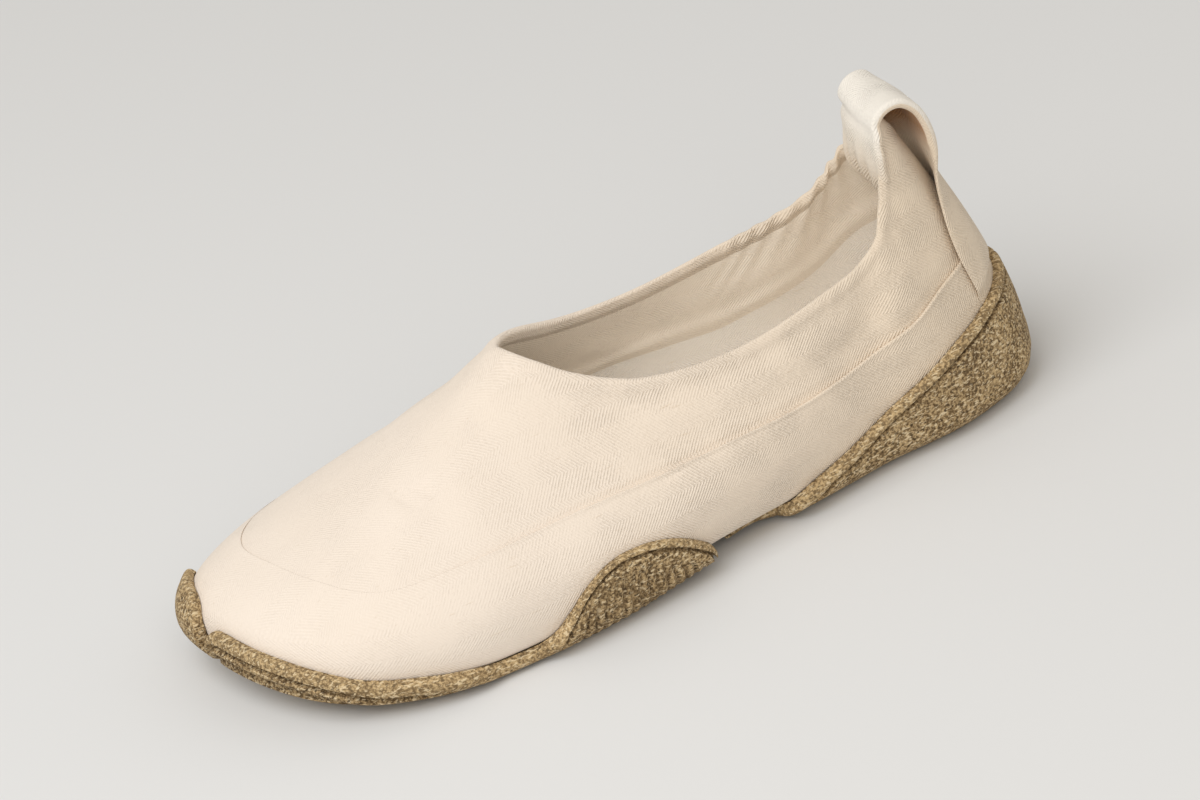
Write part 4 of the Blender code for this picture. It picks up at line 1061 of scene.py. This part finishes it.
loop_middle = LAST.rows["collar_y"][0]
across = np.sin(np.linspace(-math.pi / 2.0, math.pi / 2.0, LOOP_ACROSS + 1))
loop_y = loop_middle + across * LOOP_HALF_WIDTH
strip_shares = np.linspace(TUCK_START, STRIP[-1][0], 34)
strip_widths = smooth_table(STRIP, strip_shares)
foot = np.array([back_points(loop_middle + across * w, s) for s, w in zip(strip_shares, strip_widths)])
foot_normal = unit(foot[..., 3:])
untucked = ramp(strip_shares, TUCK_SHARE, TUCK_RUN)[:, None]
foot_thick = np.broadcast_to(TUCK_THICKNESS + (LOOP_THICKNESS - TUCK_THICKNESS) * untucked, foot.shape[:2])
foot_lift = TUCK_LIFT + (LOOP_LIFT - TUCK_LIFT) * untucked + foot_thick / 2.0
foot_centre = foot[..., :3] + foot_normal * foot_lift[..., None]
heel_round = back_points(loop_y, STRIP[-1][0])[:, 0]
heel_round = heel_round - heel_round.min()
collar_back = back_points(np.array([loop_middle]), 1.0)[0]
path = np.array(LOOP_PATH)
path_steps = run_along(path[:, :2])
fine = np.linspace(0.0, path_steps[-1], 96)
path = np.column_stack([np.interp(fine, path_steps, path[:, c]) for c in range(3)])
for _ in range(14):
    path[1:-1] = softened(path)
forward_x = collar_back[0] + path[:, :1] + path[:, 2:] * heel_round
rise = path[:, 1:2]
front = np.arange(len(fine))[:, None] > np.argmax(path[:, 1])
wrinkle = np.sin(2.0 * np.pi * loop_y / END_FOLD_PITCH + 0.6) * (1.0 - across ** 4)
forward_x = forward_x + END_FOLD * wrinkle * np.where(front, ramp(rise, *END_FOLD_SPAN), 0.0)
crease = np.exp(-((rise - CREASE_HEIGHT) / CREASE_SPREAD) ** 2) * (0.4 + 0.6 * limit(0.3 - across))
forward_x = forward_x - FRONT_CREASE * np.where(front, crease, 0.0)
apex = fine[int(np.argmax(path[:, 1]))]
past_top = np.clip((fine - apex) / 6.0, -1.0, 1.0)[:, None]
draw = np.exp(-(rise / DRAW_SPREAD) ** 2) * limit(-across) ** 2
forward_x = forward_x - draw * past_top * np.where(past_top > 0.0, FRONT_DRAW, BACK_DRAW)
led = ramp(rise, *EDGE_OUT_TOP) * ramp(rise, *EDGE_OUT_FOOT)
out_edge = limit(past_top) * limit(across) ** 2
side_y = loop_y + EDGE_OUT * led * out_edge
dent = TOP_DENT * ramp(rise, *TOP_DENT_SPAN) * (1.0 - across ** 2)
up_z = collar_back[2] + rise - dent
loop_centre = np.stack([forward_x, side_y, up_z], 2)
strip = np.concatenate([foot_centre, loop_centre])
seam_row = len(foot_centre)
for _ in range(10):
    strip[seam_row - 4:seam_row + 4] = softened(strip[seam_row - 5:seam_row + 5])
strip_normal = unit(np.cross(np.gradient(strip, axis=1), np.gradient(strip, axis=0)))
if strip_normal[2, LOOP_ACROSS // 2, 0] > 0.0:
    strip_normal = -strip_normal
strip_thick = np.concatenate([foot_thick, np.full(loop_centre.shape[:2], LOOP_THICKNESS)])
edge_share = limit((np.abs(across) - EDGE_SHARE) / (1.0 - EDGE_SHARE))
round_edge = np.sqrt(1.0 - 0.98 * edge_share ** 2)
folded = np.concatenate([np.zeros(seam_row), ramp(fine, *FOLDED_SPAN)])[:, None]
middle_in = LOOP_FOLDED / 2.0 * folded
half_thick = (strip_thick / 2.0 + middle_in) * round_edge
outer_face = strip + strip_normal * (half_thick - middle_in)[..., None]
inner_face = strip - strip_normal * (half_thick + middle_in)[..., None]
band = np.concatenate([outer_face, inner_face[:, ::-1]], 1)
ends = [np.concatenate([strip[k], strip[k][::-1]], 0)[None] for k in (0, -1)]
band = np.concatenate([ends[0], band, ends[1]], 0)
# Painted highlight: the outer face of the loop's top is made paler where the light falls on it
faded = np.zeros(band.shape[:2])
faded[seam_row + 1:-1, :LOOP_ACROSS + 1] = ramp(rise, HIGHLIGHT_START, HIGHLIGHT_RUN)
# Painted shade: the loop's inner face is darkened to brown where it lines the hole
brown = np.zeros(band.shape[:2])
hole_shade_rows = ramp(rise, HOLE_SHADE_START, HOLE_SHADE_RUN)
brown[seam_row + 1:-1, LOOP_ACROSS + 1:] = hole_shade_rows * (edge_share < 0.3)
band, faded, brown = [np.concatenate([grid, grid[:, :1]], 1) for grid in (band, faded, brown)]
pull_loop = wrapped("pull_loop_strip", band, faded=faded, brown=brown)
loop_cloth = canvas("loop_canvas", CANVAS_COLOUR, CANVAS_SHADE)
tree = loop_cloth.node_tree
shader = tree.nodes["Principled BSDF"]
# The marks mix in the painted highlight on the loop's top and the painted shade in its hole
for name, shade in (("faded", LOOP_HIGHLIGHT_COLOUR), ("brown", HOLE_SHADE_BROWN)):
    mark = node(tree, "Attribute", attribute_name=name).outputs["Fac"]
    before = shader.inputs["Base Color"].links[0].from_socket
    tree.links.new(mixed(tree, mark, before, shade), shader.inputs["Base Color"])
pull_loop.data.materials.append(loop_cloth)
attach(pull_loop, "root")
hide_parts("pull_loop")

# Floor, lights and camera: plain pale paper, soft daylight with a large key light from the toe and a
# warm fill from the outer side, and the camera at the photograph's angle to the shoe.
bpy.ops.mesh.primitive_plane_add(size=14.0, location=(0.0, 0.0, -0.0005))
floor = bpy.context.object
floor.name = "floor"
paper = material("pale_paper", Base_Color=(0.72, 0.725, 0.73, 1.0), Roughness=0.95)[0]
floor.data.materials.append(paper)

scene = bpy.context.scene
scene.world = bpy.data.worlds.new("studio")
scene.world.use_nodes = True
sky = scene.world.node_tree.nodes["Background"].inputs
sky["Color"].default_value = (1.0, 0.955, 0.885, 1.0)
sky["Strength"].default_value = 0.55
# Columns: name, place, size, power, colour
LAMPS = (("key", (0.85, 0.38, 1.5), 1.3, 16.3, (0.97, 0.985, 1.0)),
         ("fill", (0.35, 1.45, 1.1), 1.2, 7.2, (1.0, 0.94, 0.85)))
for name, place, size, power, colour in LAMPS:
    lamp = bpy.data.lights.new(name, "AREA")
    lamp.size = size
    lamp.energy = power
    lamp.color = colour
    lamp_object = bpy.data.objects.new(name, lamp)
    scene.collection.objects.link(lamp_object)
    lamp_object.location = place
    lamp_object.rotation_euler = (-Vector(place)).to_track_quat("-Z", "Y").to_euler()

AZIMUTH = math.radians(164.14)
ELEVATION = math.radians(30.69)
ROLL = math.radians(14.57)
DISTANCE = 1.5806
PIVOT = Vector(LAST_PLACE) + Vector((0.1463, 0.0, 0.035))
AIM = Vector((0.0, 0.0, 0.044))
LENS = 158.0
back = Vector((math.sin(AZIMUTH) * math.cos(ELEVATION), -math.cos(AZIMUTH) * math.cos(ELEVATION),
               math.sin(ELEVATION)))
eye = PIVOT + back * DISTANCE
right = (-back).cross(Vector((0.0, 0.0, 1.0))).normalized()
down = (-back).cross(right)
photo_up = math.sin(ROLL) * right - math.cos(ROLL) * down
forward = (AIM - eye).normalized()
side = forward.cross(photo_up).normalized()
camera = bpy.data.objects.new("camera", bpy.data.cameras.new("camera"))
scene.collection.objects.link(camera)
turned = Matrix((side, side.cross(forward), -forward)).transposed()
camera.matrix_world = Matrix.Translation(eye) @ turned.to_4x4()
camera.data.sensor_width = 36.0
camera.data.lens = LENS
camera.data.clip_end = 50.0
scene.camera = camera
scene.view_settings.view_transform = "Standard"
